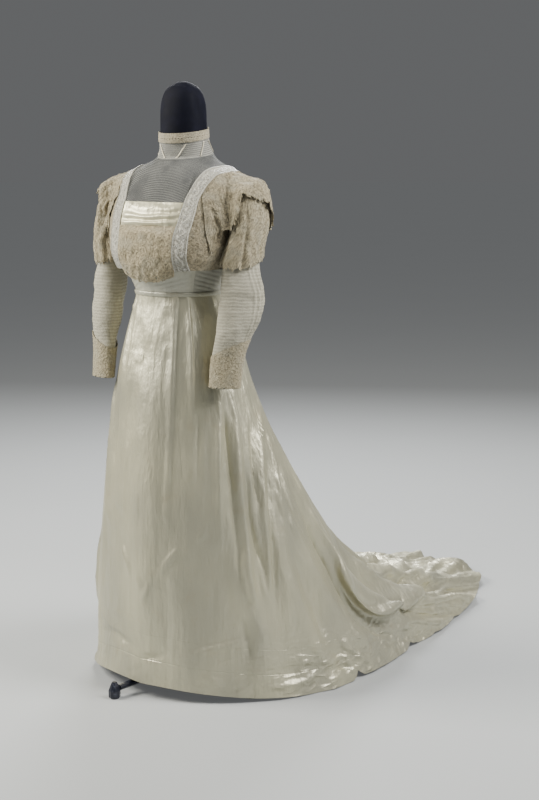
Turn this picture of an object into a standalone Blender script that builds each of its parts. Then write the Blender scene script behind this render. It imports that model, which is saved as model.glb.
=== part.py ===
"""A satin bridal gown of about 1909 with a train, standing on a padded dress form.

Every piece that a dressmaker would cut is one object. The gown's front faces -Y, its left side is +X.
The body frame has its Z axis on the stand's pole; at the end everything is moved so that the origin
is the floor point under the middle of the whole footprint, train included.
Angles around the body run from 0 at the centre front, through 90 degrees at the gown's left side, to 180
at the centre back. Lengths are in metres.
"""

import math

import bmesh
import bpy
import numpy as np

MM = 0.001

# Cloth thickness and clearances
SATIN = 1.4 * MM
NET = 1.1 * MM
LACE = 1.5 * MM
BRAID = 2.4 * MM
OFF_FORM = 0.8 * MM  # inner face of the cloth to the padded form
HALF_SEAM = 0.16 * MM  # each panel stops this far from a seam line
LAID_ON = 0.35 * MM  # a piece laid on another piece stands this far off it

# The padded form, in level sections: height, half width, front, back, roundness of the outline
BODY = [
    (0.780, 0.164, -0.131, 0.148, 2.1),
    (0.840, 0.152, -0.126, 0.141, 2.1),
    (0.900, 0.134, -0.119, 0.125, 2.1),
    (0.950, 0.117, -0.112, 0.103, 2.1),
    (0.995, 0.103, -0.107, 0.085, 2.1),
    (1.030, 0.112, -0.117, 0.090, 2.2),
    (1.065, 0.131, -0.134, 0.100, 2.3),
    (1.100, 0.147, -0.147, 0.110, 2.4),
    (1.140, 0.158, -0.149, 0.118, 2.5),
    (1.180, 0.165, -0.136, 0.123, 2.6),
    (1.215, 0.168, -0.118, 0.124, 2.6),
    (1.245, 0.167, -0.101, 0.122, 2.5),
    (1.268, 0.160, -0.088, 0.118, 2.4),
    (1.285, 0.145, -0.076, 0.113, 2.3),
    (1.298, 0.122, -0.065, 0.108, 2.2),
    (1.308, 0.100, -0.056, 0.104, 2.1),
    (1.318, 0.081, -0.046, 0.100, 2.0),
    (1.330, 0.068, -0.037, 0.096, 2.0),
    (1.350, 0.062, -0.037, 0.086, 2.0),
    (1.375, 0.0595, -0.040, 0.078, 2.0),
    (1.400, 0.0585, -0.040, 0.076, 2.0),
    (1.435, 0.0575, -0.038, 0.073, 2.1),
    (1.462, 0.0540, -0.034, 0.069, 2.2),
    (1.483, 0.0470, -0.027, 0.062, 2.2),
    (1.498, 0.0350, -0.015, 0.050, 2.1),
    (1.506, 0.0200, 0.000, 0.036, 2.0),
]
FORM_RINGS = [0.780, 0.850, 0.910, 0.950, 0.975, 0.990, 1.005, 1.020, 1.040, 1.065, 1.100, 1.140, 1.180,
              1.215, 1.245, 1.268, 1.284, 1.295, 1.304, 1.312, 1.320, 1.330, 1.345, 1.362, 1.378, 1.435,
              1.468, 1.490, 1.505]
FORM_INSET = 1.0 * MM  # the padding ends this far inside the line the cloth is worked from
FORM_TOP = 1.510
FORM_BASE = 0.780

# Levels of the bodice seams
WAIST = 0.998
LACE_TOP = 1.165
NECKLINE = 1.220
STRAP_END = 1.066
MIDRIFF_TOP = 1.072

# The shoulder straps' edges from the front end up to the shoulder: distance from the centre, height
STRAP_INNER = [
    (0.070, STRAP_END),
    (0.073, 1.100),
    (0.077, 1.140),
    (0.084, 1.180),
    (0.087, NECKLINE),
    (0.094, 1.258),
    (0.101, 1.286),
    (0.107, 1.299),
    (0.110, 1.3036),
]
STRAP_OUTER = [
    (0.098, STRAP_END),
    (0.102, 1.100),
    (0.110, 1.140),
    (0.117, 1.180),
    (0.118, NECKLINE),
    (0.122, 1.248),
    (0.128, 1.268),
    (0.132, 1.283),
    (0.1345, 1.2905),
]

# The armhole, seen from the side
ARMHOLE_Y = 0.018
ARMHOLE_Z = 1.205
ARMHOLE_DEPTH = 0.060
ARMHOLE_HEIGHT = 0.076

# The panels' armholes are cut larger than the sleeve heads by this much, in depth and in height
ARMHOLE_CLEAR = (0.0038, 0.0064)

# The sleeve head turns about the armpit: angle of the section, nearest and furthest point, half depth, y
ARMPIT = (0.156, 1.118)
SLEEVE_HEAD = [
    (18.0, 0.0145, 0.1590, 0.0600, 0.015),
    (35.0, 0.0145, 0.1270, 0.0580, 0.009),
    (53.0, 0.0145, 0.0990, 0.0550, 0.002),
    (72.0, 0.0145, 0.0795, 0.0520, -0.006),
    (90.0, 0.0145, 0.0740, 0.0500, -0.014),
]
# The arm of the sleeve: height, centre x and y, broad and thin half size, direction of the broad one
SLEEVE_ARM = [
    (1.060, 0.1940, -0.023, 0.049, 0.034, 72.0),
    (1.000, 0.2000, -0.025, 0.054, 0.040, 50.0),
    (0.950, 0.1985, -0.040, 0.050, 0.038, 42.0),
    (0.900, 0.1920, -0.057, 0.042, 0.031, 35.0),
    (0.850, 0.1850, -0.070, 0.038, 0.024, 28.0),
    (0.778, 0.1830, -0.081, 0.036, 0.018, 20.0),
]

# The skirt below the hips: height at front, side and back, half width on the left and on the right,
# where it is widest, front, back, roundness of the back outline
SKIRT = [
    (0.700, 0.700, 0.700, 0.194, 0.190, 0.020, -0.142, 0.200, 2.00),
    (0.600, 0.600, 0.600, 0.224, 0.216, 0.045, -0.151, 0.268, 2.00),
    (0.500, 0.500, 0.500, 0.252, 0.238, 0.070, -0.161, 0.338, 2.00),
    (0.400, 0.400, 0.400, 0.279, 0.256, 0.100, -0.169, 0.415, 2.00),
    (0.310, 0.300, 0.295, 0.305, 0.272, 0.130, -0.175, 0.510, 2.05),
    (0.228, 0.210, 0.190, 0.330, 0.284, 0.160, -0.178, 0.645, 2.15),
    (0.156, 0.130, 0.105, 0.352, 0.296, 0.190, -0.180, 0.825, 2.30),
    (0.100, 0.065, 0.048, 0.370, 0.306, 0.220, -0.182, 1.030, 2.45),
    (0.066, 0.026, 0.018, 0.382, 0.319, 0.240, -0.184, 1.220, 2.60),
    (0.036, 0.000, 0.000, 0.392, 0.334, 0.250, -0.188, 1.390, 2.65),
]
RIGHT_HEM_LIFT = 0.052  # the hem hangs off the floor on the right of the front
# Soft folds of the skirt: centre angle at the hip and at the hem, widths before and after it,
# height at the hem, share of the length where the fold starts
SKIRT_FOLDS = [
    (-150.0, -152.0, 5.0, 9.0, 0.050, 0.20),
    (-128.0, -131.0, 8.0, 5.0, 0.040, 0.25),
    (-104.0, -108.0, 6.0, 6.0, 0.026, 0.35),
    (-74.0, -79.0, 6.0, 7.0, 0.014, 0.45),
    (-42.0, -46.0, 7.0, 6.0, 0.010, 0.40),
    (16.0, 20.0, 6.0, 7.0, 0.008, 0.35),
    (44.0, 50.0, 6.0, 7.0, 0.010, 0.30),
    (66.0, 74.0, 4.0, 5.0, 0.016, 0.30),
    (84.0, 92.0, 4.0, 5.0, 0.020, 0.25),
    (104.0, 110.0, 5.0, 6.0, 0.026, 0.30),
    (122.0, 127.0, 9.0, 3.5, 0.046, 0.18),
    (146.0, 146.0, 4.0, 8.0, 0.056, 0.15),
    (168.0, 166.0, 6.0, 7.0, 0.046, 0.25),
    (-171.0, -172.0, 6.0, 5.0, 0.040, 0.30),
]
FLOOR_FOLD_SHARE = 0.62  # folds that lie on the floor are flatter

# Angles of the skirt's columns, closer together in the train
SKIRT_COLUMNS = np.concatenate([np.arange(-72, 126, 6.0), np.arange(126, 234, 4.5), np.arange(234, 288, 6.0)])
# Which part of the way round each gore covers
GORES = {
    "skirt_front": (-24, 24),
    "skirt_side_front_left": (24, 72),
    "skirt_side_front_right": (-72, -24),
    "skirt_side_back_left": (72, 126),
    "skirt_side_back_right": (234, 288),
    "skirt_back_train": (126, 234),
}

# The stand: four cast legs on small round feet, and a pole up into the form
POLE_RADIUS = 0.014
HUB_RADIUS = 0.032
HUB_LOW = 0.026
HUB_HIGH = 0.115
LEG_REACH = 0.236
LEG_TURN = -12.0
LEG_WIDTH = 0.018
FOOT_RADIUS = 0.015
FOOT_HEIGHT = 0.020

COLOURS = {
    "satin": (0.80, 0.77, 0.66, 0.30),
    "net": (0.62, 0.63, 0.58, 0.85),
    "lace": (0.72, 0.66, 0.53, 0.85),
    "braid": (0.83, 0.81, 0.72, 0.55),
    "jersey": (0.012, 0.012, 0.018, 0.90),
    "iron": (0.03, 0.03, 0.04, 0.45),
}


def pchip(knots, values, at):
    """Smooth curve through the knots that never overshoots between two of them."""
    knots = np.asarray(knots, float)
    values = np.asarray(values, float)
    at = np.clip(np.asarray(at, float), knots[0], knots[-1])
    step = np.diff(knots)
    slope = np.diff(values) / step
    tangent = np.zeros(len(knots))
    same = slope[:-1] * slope[1:] > 0
    middle = np.zeros(len(slope) - 1)
    middle[same] = 2 * slope[:-1][same] * slope[1:][same] / (slope[:-1][same] + slope[1:][same])
    tangent[1:-1] = middle
    tangent[0] = slope[0]
    tangent[-1] = slope[-1]
    i = np.clip(np.searchsorted(knots, at, side="right") - 1, 0, len(step) - 1)
    t = (at - knots[i]) / step[i]
    return (
        values[i] * (1 + 2 * t) * (1 - t) ** 2
        + tangent[i] * step[i] * t * (1 - t) ** 2
        + values[i + 1] * t * t * (3 - 2 * t)
        + tangent[i + 1] * step[i] * t * t * (t - 1)
    )


def column(table, index):
    """One column of a table as an array."""
    return np.array([row[index] for row in table], float)


def ease(t):
    """Smooth step from 0 to 1."""
    t = np.clip(t, 0.0, 1.0)
    return t * t * (3 - 2 * t)


def power(value, exponent):
    """A power that keeps the sign."""
    return np.sign(value) * np.abs(value) ** exponent


# Surface of the padded form

def body_section(z):
    """Half width, centre, half depth and roundness of the form at a height."""
    heights = column(BODY, 0)
    half_width = pchip(heights, column(BODY, 1), z)
    front = pchip(heights, column(BODY, 2), z)
    back = pchip(heights, column(BODY, 3), z)
    roundness = pchip(heights, column(BODY, 4), z)
    return half_width, (front + back) / 2, (back - front) / 2, roundness


def body_point(angle, z):
    """Points of the form's surface at angles in degrees and heights."""
    angle, z = np.broadcast_arrays(np.radians(angle), np.asarray(z, float))
    half_width, centre, half_depth, roundness = body_section(z)
    x = half_width * power(np.sin(angle), 2 / roundness)
    y = centre - half_depth * power(np.cos(angle), 2 / roundness)
    return np.stack([x, y, z], axis=-1)


def body_frame(angle, z):
    """Points of the form's surface and its outward unit normals there."""
    turn, rise = 0.4, 0.4 * MM
    across = body_point(np.add(angle, turn), z) - body_point(np.subtract(angle, turn), z)
    along = body_point(angle, np.add(z, rise)) - body_point(angle, np.subtract(z, rise))
    normal = np.cross(across, along)
    return body_point(angle, z), normal / np.linalg.norm(normal, axis=-1, keepdims=True)


def angle_of_x(x, z):
    """Angle at which the front of the form is x from the centre."""
    half_width, _, _, roundness = body_section(z)
    return np.degrees(np.arcsin(np.clip(x / half_width, 0, 1) ** (roundness / 2)))


def angle_of_y(y, z):
    """Angle at which the left side of the form has that y."""
    _, centre, half_depth, roundness = body_section(z)
    return np.degrees(np.arccos(power(np.clip((centre - y) / half_depth, -1, 1), roundness / 2)))


def strap_edge(table, along):
    """(angle, height) of a strap's edge. along runs from -1 at the front end to 1 at the back end."""
    rows = np.arange(len(table)) / (len(table) - 1)
    heights = column(table, 1)
    angles = angle_of_x(column(table, 0), heights)
    angles[-1] = 90.0
    t = 1 - np.abs(along)
    angle = pchip(rows, angles, t)
    return np.where(along < 0, angle, 180 - angle), pchip(rows, heights, t)


def edge_angle(table, z):
    """Angle of a strap's front edge at a height."""
    return pchip(column(table, 1), angle_of_x(column(table, 0), column(table, 1)), z)


def armhole_edge(z, side):
    """y of the panels' front (side -1) or back (side 1) armhole edge at a height."""
    deeper, higher = ARMHOLE_CLEAR
    t = np.clip((z - ARMHOLE_Z) / (ARMHOLE_HEIGHT + higher), -1, 1)
    return ARMHOLE_Y + side * (ARMHOLE_DEPTH + deeper) * np.sqrt(1 - t * t)


# Grids, normals and walls

def normals(grid, closed):
    """Unit normals of a grid of points, on the side that its first turn gives."""
    if closed:
        across = np.roll(grid, -1, axis=1) - np.roll(grid, 1, axis=1)
    else:
        across = np.gradient(grid, axis=1)
    along = np.gradient(grid, axis=0)
    normal = np.cross(across, along)
    length = np.linalg.norm(normal, axis=-1, keepdims=True)
    return normal / np.maximum(length, 1e-12)


def trimmed(grid, left=True, right=True, bottom=False, top=False):
    """The grid with its chosen edges drawn in by half a seam."""
    grid = grid.copy()

    def draw_in(edge, inner):
        step = inner - edge
        return edge + step / np.maximum(np.linalg.norm(step, axis=-1, keepdims=True), 1e-9) * HALF_SEAM

    if left:
        grid[:, 0] = draw_in(grid[:, 0], grid[:, 1])
    if right:
        grid[:, -1] = draw_in(grid[:, -1], grid[:, -2])
    if bottom:
        grid[0] = draw_in(grid[0], grid[1])
    if top:
        grid[-1] = draw_in(grid[-1], grid[-2])
    return grid


def make_object(name, points, faces, material):
    """A mesh object with its faces turned outwards."""
    mesh = bpy.data.meshes.new(name)
    mesh.from_pydata([tuple(p) for p in points], [], faces)
    body = bmesh.new()
    body.from_mesh(mesh)
    bmesh.ops.recalc_face_normals(body, faces=body.faces)
    if body.calc_volume(signed=True) < 0:
        bmesh.ops.reverse_faces(body, faces=body.faces)
    body.to_mesh(mesh)
    body.free()
    mesh.shade_smooth()
    mesh.set_sharp_from_angle(angle=math.radians(50))
    own = material.copy()
    own.name = name
    mesh.materials.append(own)
    obj = bpy.data.objects.new(name, mesh)
    bpy.context.scene.collection.objects.link(obj)
    return obj


def wall(name, inner, outer, material, closed=False, holes=(), hole_size=0.52):
    """A closed wall between two grids of points. holes are the (row, column) cells cut through."""
    rows, columns = inner.shape[:2]
    points = [*inner.reshape(-1, 3), *outer.reshape(-1, 3)]
    faces = []
    shift = rows * columns
    spans = columns if closed else columns - 1

    def at(row, col, layer):
        return layer * shift + row * columns + col % columns

    for row in range(rows - 1):
        for col in range(spans):
            ring = [(row, col), (row, col + 1), (row + 1, col + 1), (row + 1, col)]
            corners = [[at(*p, layer) for p in ring] for layer in (0, 1)]
            if (row, col) not in holes:
                # every layer is cut along the same diagonal, so that layers stay parallel
                faces += [[corners[0][k] for k in (2, 1, 0)], [corners[0][k] for k in (3, 2, 0)]]
                faces += [[corners[1][k] for k in (0, 1, 2)], [corners[1][k] for k in (0, 2, 3)]]
                continue
            lips = []
            for layer in (0, 1):
                own = np.array([points[i] for i in corners[layer]])
                middle = own.mean(axis=0)
                lips.append(list(range(len(points), len(points) + 4)))
                points.extend(middle + (own - middle) * hole_size)
            for k in range(4):
                n = (k + 1) % 4
                faces.append([corners[0][n], corners[0][k], lips[0][k], lips[0][n]])
                faces.append([corners[1][k], corners[1][n], lips[1][n], lips[1][k]])
                faces.append([lips[0][n], lips[0][k], lips[1][k], lips[1][n]])
    for col in range(spans):
        faces.append([at(0, col, 0), at(0, col + 1, 0), at(0, col + 1, 1), at(0, col, 1)])
        last = rows - 1
        faces.append([at(last, col, 1), at(last, col + 1, 1), at(last, col + 1, 0), at(last, col, 0)])
    if not closed:
        for row in range(rows - 1):
            faces.append([at(row, 0, 1), at(row + 1, 0, 1), at(row + 1, 0, 0), at(row, 0, 0)])
            end = columns - 1
            faces.append([at(row, end, 0), at(row + 1, end, 0), at(row + 1, end, 1), at(row, end, 1)])
    return make_object(name, points, faces, material)


def layer(angle, z, low, thick, edges):
    """Inner and outer points of cloth on the form. edges names the sides that end at a seam."""
    spots, outward = body_frame(angle, z)
    low = np.asarray(low, float)[..., None]
    thick = np.asarray(thick, float)[..., None]
    cut = dict(left="l" in edges, right="r" in edges, bottom="b" in edges, top="t" in edges)
    return trimmed(spots + outward * low, **cut), trimmed(spots + outward * (low + thick), **cut)


def cloth(name, angle, z, low, thick, material, edges="lrbt", closed=False, holes=()):
    """A wall of cloth on the form, its inner face low off it."""
    return wall(name, *layer(angle, z, low, thick, edges), material, closed, holes)


def pair(name, angle, z, low, thick, material, edges="lrbt", holes=()):
    """The same cloth on the left and on the right side of the form."""
    inner, outer = layer(angle, z, low, thick, edges)
    flip = np.array([-1.0, 1.0, 1.0])
    wall(f"{name}_left", inner, outer, material, holes=holes)
    wall(f"{name}_right", inner * flip, outer * flip, material, holes=holes)


def lofted(name, rings, material):
    """A solid through closed rings of points, with flat ends."""
    rings = np.asarray(rings, float)
    count, sides = rings.shape[:2]
    faces = [list(range(sides)), [(count - 1) * sides + k for k in range(sides)][::-1]]
    for k in range(count - 1):
        for s in range(sides):
            n = (s + 1) % sides
            faces.append([k * sides + s, k * sides + n, (k + 1) * sides + n, (k + 1) * sides + s])
    return make_object(name, rings.reshape(-1, 3), faces, material)


def make_material(name):
    """A plain finish from the colour table."""
    *colour, roughness = COLOURS[name]
    material = bpy.data.materials.new(name)
    material.use_nodes = True
    shader = material.node_tree.nodes["Principled BSDF"]
    shader.inputs["Base Color"].default_value = (*colour, 1.0)
    shader.inputs["Roughness"].default_value = roughness
    shader.inputs["Metallic"].default_value = 0.6 if name == "iron" else 0.0
    material.diffuse_color = (*colour, 1.0)
    return material


# The dress form and its stand

def build_form(finish):
    """The padded torso with its tall rounded neck, and the stand that carries it."""
    turn = np.arange(24) * 15.0
    rings = []
    for z in FORM_RINGS:
        spots, outward = body_frame(turn, z)
        outward[:, 2] = 0
        rings.append(spots - outward * FORM_INSET)
    crown = rings[-1].mean(axis=0)
    top = rings[-1] * 0.35 + crown * 0.65
    top[:, 2] = FORM_TOP
    lofted("form_torso", [*rings, top], finish["jersey"])

    cap_turn = np.arange(16) * 2 * math.pi / 16
    pole_top = FORM_BASE - 0.3 * MM
    pole_foot = HUB_HIGH + 0.3 * MM
    circle = np.stack([np.cos(cap_turn), np.sin(cap_turn), 0 * cap_turn], axis=-1)
    pole = [circle * [POLE_RADIUS, POLE_RADIUS, 0] + [0, 0, z] for z in (pole_foot, pole_top)]
    lofted("stand_pole", pole, finish["iron"])
    hub_profile = [(0.020, HUB_LOW), (HUB_RADIUS, HUB_LOW + 0.010), (HUB_RADIUS, HUB_LOW + 0.036),
                   (0.022, HUB_LOW + 0.050), (0.022, HUB_HIGH)]
    hub_turn = cap_turn + math.radians(LEG_TURN) + math.pi / 16
    hub_circle = np.stack([np.cos(hub_turn), np.sin(hub_turn), 0 * hub_turn], axis=-1)
    lofted("stand_hub", [hub_circle * [r, r, 0] + [0, 0, z] for r, z in hub_profile], finish["iron"])

    hub_flat = HUB_RADIUS * math.cos(math.pi / 16)
    leg_profile = [(hub_flat + 0.3 * MM, 0.046, 0.015), (0.080, 0.040, 0.013), (0.130, 0.032, 0.0105),
                   (0.180, 0.026, 0.0085), (LEG_REACH - FOOT_RADIUS - 0.3 * MM, 0.0235, 0.0075)]
    for k in range(4):
        angle = math.radians(LEG_TURN + 90 * k)
        ahead = np.array([math.sin(angle), -math.cos(angle), 0.0])
        aside = np.array([math.cos(angle), math.sin(angle), 0.0])
        rings = []
        for reach, height, half_height in leg_profile:
            section = []
            for s in range(8):
                a = math.radians(22.5 + 45 * s)
                section.append(ahead * reach + aside * (LEG_WIDTH / 2 * math.cos(a))
                               + np.array([0, 0, height + half_height * math.sin(a)]))
            rings.append(section)
        lofted(f"stand_leg_{k + 1}", rings, finish["iron"])
        foot = [(0.011, 0.0), (FOOT_RADIUS, 0.004), (FOOT_RADIUS, FOOT_HEIGHT), (0.011, FOOT_HEIGHT + 0.012),
                (0.006, FOOT_HEIGHT + 0.022)]
        place = ahead * LEG_REACH
        lofted(f"stand_foot_{k + 1}", [circle[::2] * [r, r, 0] + place + [0, 0, z] for r, z in foot],
               finish["iron"])


# Collar and yoke

YOKE_FRONT_TURN = np.linspace(-90, 90, 19)
YOKE_BACK_TURN = np.array([90, 100, 110, 120, 130, 140, 153, 166, 178.8])


def neck_seam(angle):
    """Height of the seam between collar and yoke."""
    return 1.331 - 0.010 * np.cos(np.radians(angle))


def collar_top(angle):
    """Height of the collar's upper edge, lowest in front."""
    return 1.3905 - 0.0085 * np.cos(np.radians(angle))


COLLAR_ROWS = np.array([0.0, 0.28, 0.62, 1.0])
# Each stay of the collar: angle of its foot and of its head
COLLAR_STAYS = [(-12, -37), (12, 37), (-62, -84), (62, 84), (-122, -104), (122, 104), (-164, -146), (164, 146)]
STAY_HALF_WIDTH = 1.6  # degrees round the neck
STAY_ROWS = np.array([0.03, 0.28, 0.58])


def build_collar(finish):
    """The boned stand collar with its lace band, open at the back where it is hooked."""
    turn = np.concatenate([-YOKE_BACK_TURN[:0:-1], YOKE_FRONT_TURN, YOKE_BACK_TURN[1:]])
    mesh_turn, share = np.meshgrid(turn, COLLAR_ROWS)
    z = neck_seam(mesh_turn) + (collar_top(mesh_turn) - neck_seam(mesh_turn)) * share
    cloth("collar", mesh_turn, z, OFF_FORM, NET, finish["net"], edges="b")
    low = OFF_FORM + NET + LAID_ON
    cloth("collar_lace_band", mesh_turn[2:], z[2:], low, 1.3 * MM, finish["lace"], edges="")
    facets, outward = body_frame(mesh_turn, z)
    facets = facets + outward * (low + 0.4 * MM)
    for k, (foot, head) in enumerate(COLLAR_STAYS):
        inner, side = [], []
        for row in STAY_ROWS:
            centre = foot + (head - foot) * row / STAY_ROWS[-1]
            edges = np.array([centre - STAY_HALF_WIDTH, centre + STAY_HALF_WIDTH])
            inner.append(on_facets(turn, COLLAR_ROWS, facets, edges, row))
            side.append(on_facets(turn, COLLAR_ROWS, outward, edges, row))
        inner, side = np.array(inner), np.array(side)
        wall(f"collar_stay_{k + 1}", inner, inner + side * 1.2 * MM, finish["satin"])


def on_facets(turn, rows, grid, angles, row):
    """Values of a grid between its points, at angles in one row position."""
    j = int(np.clip(np.searchsorted(rows, row, side="right") - 1, 0, len(rows) - 2))
    t = (row - rows[j]) / (rows[j + 1] - rows[j])
    line = grid[j] * (1 - t) + grid[j + 1] * t
    return np.stack([np.interp(angles, turn, line[:, k]) for k in range(3)], axis=-1)


YOKE_FRONT_CORNER = 40.0  # where round the neck the yoke's corners are drawn to
YOKE_BACK_CORNER = 140.0
FRONT_CORNER = -0.5  # place of the corners along the strap
BACK_CORNER = 1 - 4.35 / 8


def yoke_edge(turn):
    """(angle, height) of the yoke's outer edge for each angle round the neck."""
    side = np.abs(turn)
    front_angle, front_z = strap_edge(STRAP_INNER, np.array(FRONT_CORNER))
    back_angle, back_z = strap_edge(STRAP_INNER, np.array(BACK_CORNER))
    share = np.clip((side - YOKE_FRONT_CORNER) / (YOKE_BACK_CORNER - YOKE_FRONT_CORNER), 0, 1)
    angle, z = strap_edge(STRAP_INNER, FRONT_CORNER + (BACK_CORNER - FRONT_CORNER) * share)
    in_front, behind = side < YOKE_FRONT_CORNER, side > YOKE_BACK_CORNER
    angle = np.where(in_front, front_angle * side / YOKE_FRONT_CORNER, angle)
    past = (side - YOKE_BACK_CORNER) / (180 - YOKE_BACK_CORNER)
    angle = np.where(behind, back_angle + (180 - back_angle) * past, angle)
    z = np.where(in_front, front_z, np.where(behind, back_z, z))
    return angle * np.sign(turn), z


def yoke_place(turn, rows):
    """(angle, height) of the yoke from its outer edge (row 0) to the neck seam (row 1)."""
    edge_turn, edge_z = yoke_edge(turn)
    share = rows[:, None]
    angle = edge_turn + (turn - edge_turn) * share ** 1.8
    return angle, edge_z + (neck_seam(turn) - edge_z) * share


def build_yoke(finish):
    """The tucked net yoke in a front and two backs, seamed on the shoulders."""
    rows = np.linspace(0, 1, 8)
    low = np.array([1.2, 1.4, 1.4, 1.2, 1.0, 0.9, 0.8, 0.8])[:, None] * MM
    cloth("yoke_front", *yoke_place(YOKE_FRONT_TURN, rows), low, NET, finish["net"])
    pair("yoke_back", *yoke_place(YOKE_BACK_TURN, rows), low, NET, finish["net"])


# Bodice

def blouse(z, strength=1.0):
    """How far the lace bags out over the waist."""
    return strength * 0.013 * ease((LACE_TOP - z) / 0.075)


def swag_edge(angle):
    """Height of the lace's lower edge: lowest in the middle of the front, rising to the sides, scalloped."""
    scallop = 2.6 * MM * np.abs(np.sin(np.radians(angle) * 7.5))
    return 1.0353 + 0.030 * ease(np.abs(angle) / 52) - scallop


def build_front(finish):
    """The folded satin insert and the lace that hangs from it between the straps."""
    columns = np.linspace(-0.992, 0.992, 13)
    heights = np.array([LACE_TOP, 1.174, 1.183, 1.192, 1.201, 1.210, NECKLINE])
    folds = np.array([1.4, 4.8, 2.4, 5.2, 2.6, 3.8, 0.6]) * MM
    tilt = np.array([0, 2.5, -2.0, 3.0, -1.5, 0.8, 0]) * MM
    ends = 1 - columns ** 6
    z = heights[:, None] + tilt[:, None] * columns * ends
    low = OFF_FORM + folds[:, None] * (0.35 + 0.65 * ends)
    angle = columns * edge_angle(STRAP_INNER, heights)[:, None]
    cloth("neckline_insert", angle, z, low, SATIN, finish["satin"])

    columns = np.linspace(-0.992, 0.992, 16)
    rows = np.linspace(0, 1, 9)
    low_edge = np.minimum(swag_edge(columns * float(edge_angle(STRAP_INNER, STRAP_END))), 1.062)
    z = low_edge + (LACE_TOP - low_edge) * rows[:, None]
    angle = columns * edge_angle(STRAP_INNER, np.maximum(z, STRAP_END))
    drape = 3.0 * MM * np.sin(rows[:, None] * 9.0 + 2.2 * columns ** 2) * ease(rows * 4)[:, None]
    low = OFF_FORM + blouse(z) + 3.4 * MM + drape * (1 - columns ** 4)
    low[-1] = OFF_FORM + 0.9 * MM
    holes = {(0, 2), (1, 1), (0, 5), (1, 7), (1, 9), (0, 11), (1, 13), (0, 13)}
    cloth("lace_front", angle, z, low, LACE, finish["lace"], edges="lrt", holes=holes)


def strap_places():
    """Where along the straps their corners are: the same as those of the cloth beside them."""
    on_yoke = np.linspace(FRONT_CORNER, BACK_CORNER, 11)
    return np.concatenate([np.linspace(-1, FRONT_CORNER, 6)[:-1], on_yoke, np.linspace(BACK_CORNER, 1, 6)[1:]])


def build_straps(finish):
    """The braided straps from the bust over the shoulders to the back."""
    along = strap_places()
    inner_angle, inner_z = strap_edge(STRAP_INNER, along)
    outer_angle, outer_z = strap_edge(STRAP_OUTER, along)
    share = np.array([0.0, 0.16, 0.84, 1.0])[:, None]
    angle = outer_angle + (inner_angle - outer_angle) * share
    z = outer_z + (inner_z - outer_z) * share
    crown = np.array([0.0, 0.8, 0.8, 0.0])[:, None] * MM
    pair("strap", angle, z, OFF_FORM + NET + LAID_ON + blouse(z), BRAID + crown, finish["braid"], edges="bt")


def build_sides(finish):
    """Lace between the straps and the armholes, front and back, and the lace of the back."""
    along = strap_places()
    arm_top = ARMHOLE_Z + ARMHOLE_HEIGHT + ARMHOLE_CLEAR[1] - 1.0 * MM
    share = np.linspace(0, 1, 6)
    for name, side in (("lace_side_front", -1), ("lace_side_back", 1)):
        out, heights = strap_edge(STRAP_OUTER, along[along * side > 0])
        out, heights = out[heights < arm_top], heights[heights < arm_top]
        order = np.argsort(heights)
        out, heights = out[order], heights[order]
        arm = angle_of_y(armhole_edge(heights, side), heights)
        first, last = (out, arm) if side < 0 else (arm, out)
        angle = first[:, None] + (last - first)[:, None] * share
        z = np.repeat(heights[:, None], len(share), axis=1)
        reach = np.linalg.norm(body_point(angle, z) - body_point(arm[:, None], z), axis=-1)
        low = OFF_FORM + 0.4 * MM + blouse(z, 0.75) * np.where(z > 1.105, ease(reach / 0.028), 1.0)
        pair(name, angle, z, low, LACE, finish["lace"], edges="lr")

    first, heights = strap_edge(STRAP_INNER, along[along >= BACK_CORNER])
    first, heights = np.append(first, first[-1])[::-1], np.append(heights, 1.056)[::-1]
    share = np.linspace(0, 1, 7)
    angle = first[:, None] + (179.4 - first)[:, None] * share
    z = np.repeat(heights[:, None], len(share), axis=1)
    pair("lace_back", angle, z, OFF_FORM + 0.4 * MM + blouse(z, 0.8), LACE, finish["lace"], edges="lt")


MIDRIFF = {
    "midriff_front": (-54, 54),
    "midriff_side_left": (54, 126),
    "midriff_side_right": (-126, -54),
    "midriff_back_left": (126, 180),
    "midriff_back_right": (180, 234),
}
BELT_HALF = 5.0 * MM
MIDRIFF_HEIGHTS = np.array([WAIST, WAIST + BELT_HALF, 1.017, 1.034, 1.052, MIDRIFF_TOP])
MIDRIFF_STEP = 9.0


def build_midriff(finish):
    """The band under the lace, laid in slanting pleats at the sides, and the piping round the waist."""
    for name, (first, last) in MIDRIFF.items():
        angle, z = np.meshgrid(np.arange(first, last + 1, MIDRIFF_STEP), MIDRIFF_HEIGHTS)
        slant = np.sin((z - WAIST) * 200 + np.radians(angle) * (4.0 if first >= 0 else -4.0))
        soft = ease((z - WAIST - BELT_HALF) / 0.014)
        ends = ease((angle - first) / 8) * ease((last - angle) / 8)
        low = OFF_FORM + 0.45 * MM * (1 + slant) * soft * ends
        cloth(name, angle, z, low, NET, finish["net"] if "side" in name else finish["satin"], edges="lrb")
    angle, z = np.meshgrid(np.arange(0, 360, 9.0), WAIST + BELT_HALF * np.array([-1, 0, 1]))
    low = OFF_FORM + SATIN + 0.7 * MM
    crown = np.array([1.0, 2.2, 1.0])[:, None] * MM * np.ones_like(angle)
    cloth("waist_piping", angle, z, low, crown, finish["satin"], edges="", closed=True)


# Sleeves

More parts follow.
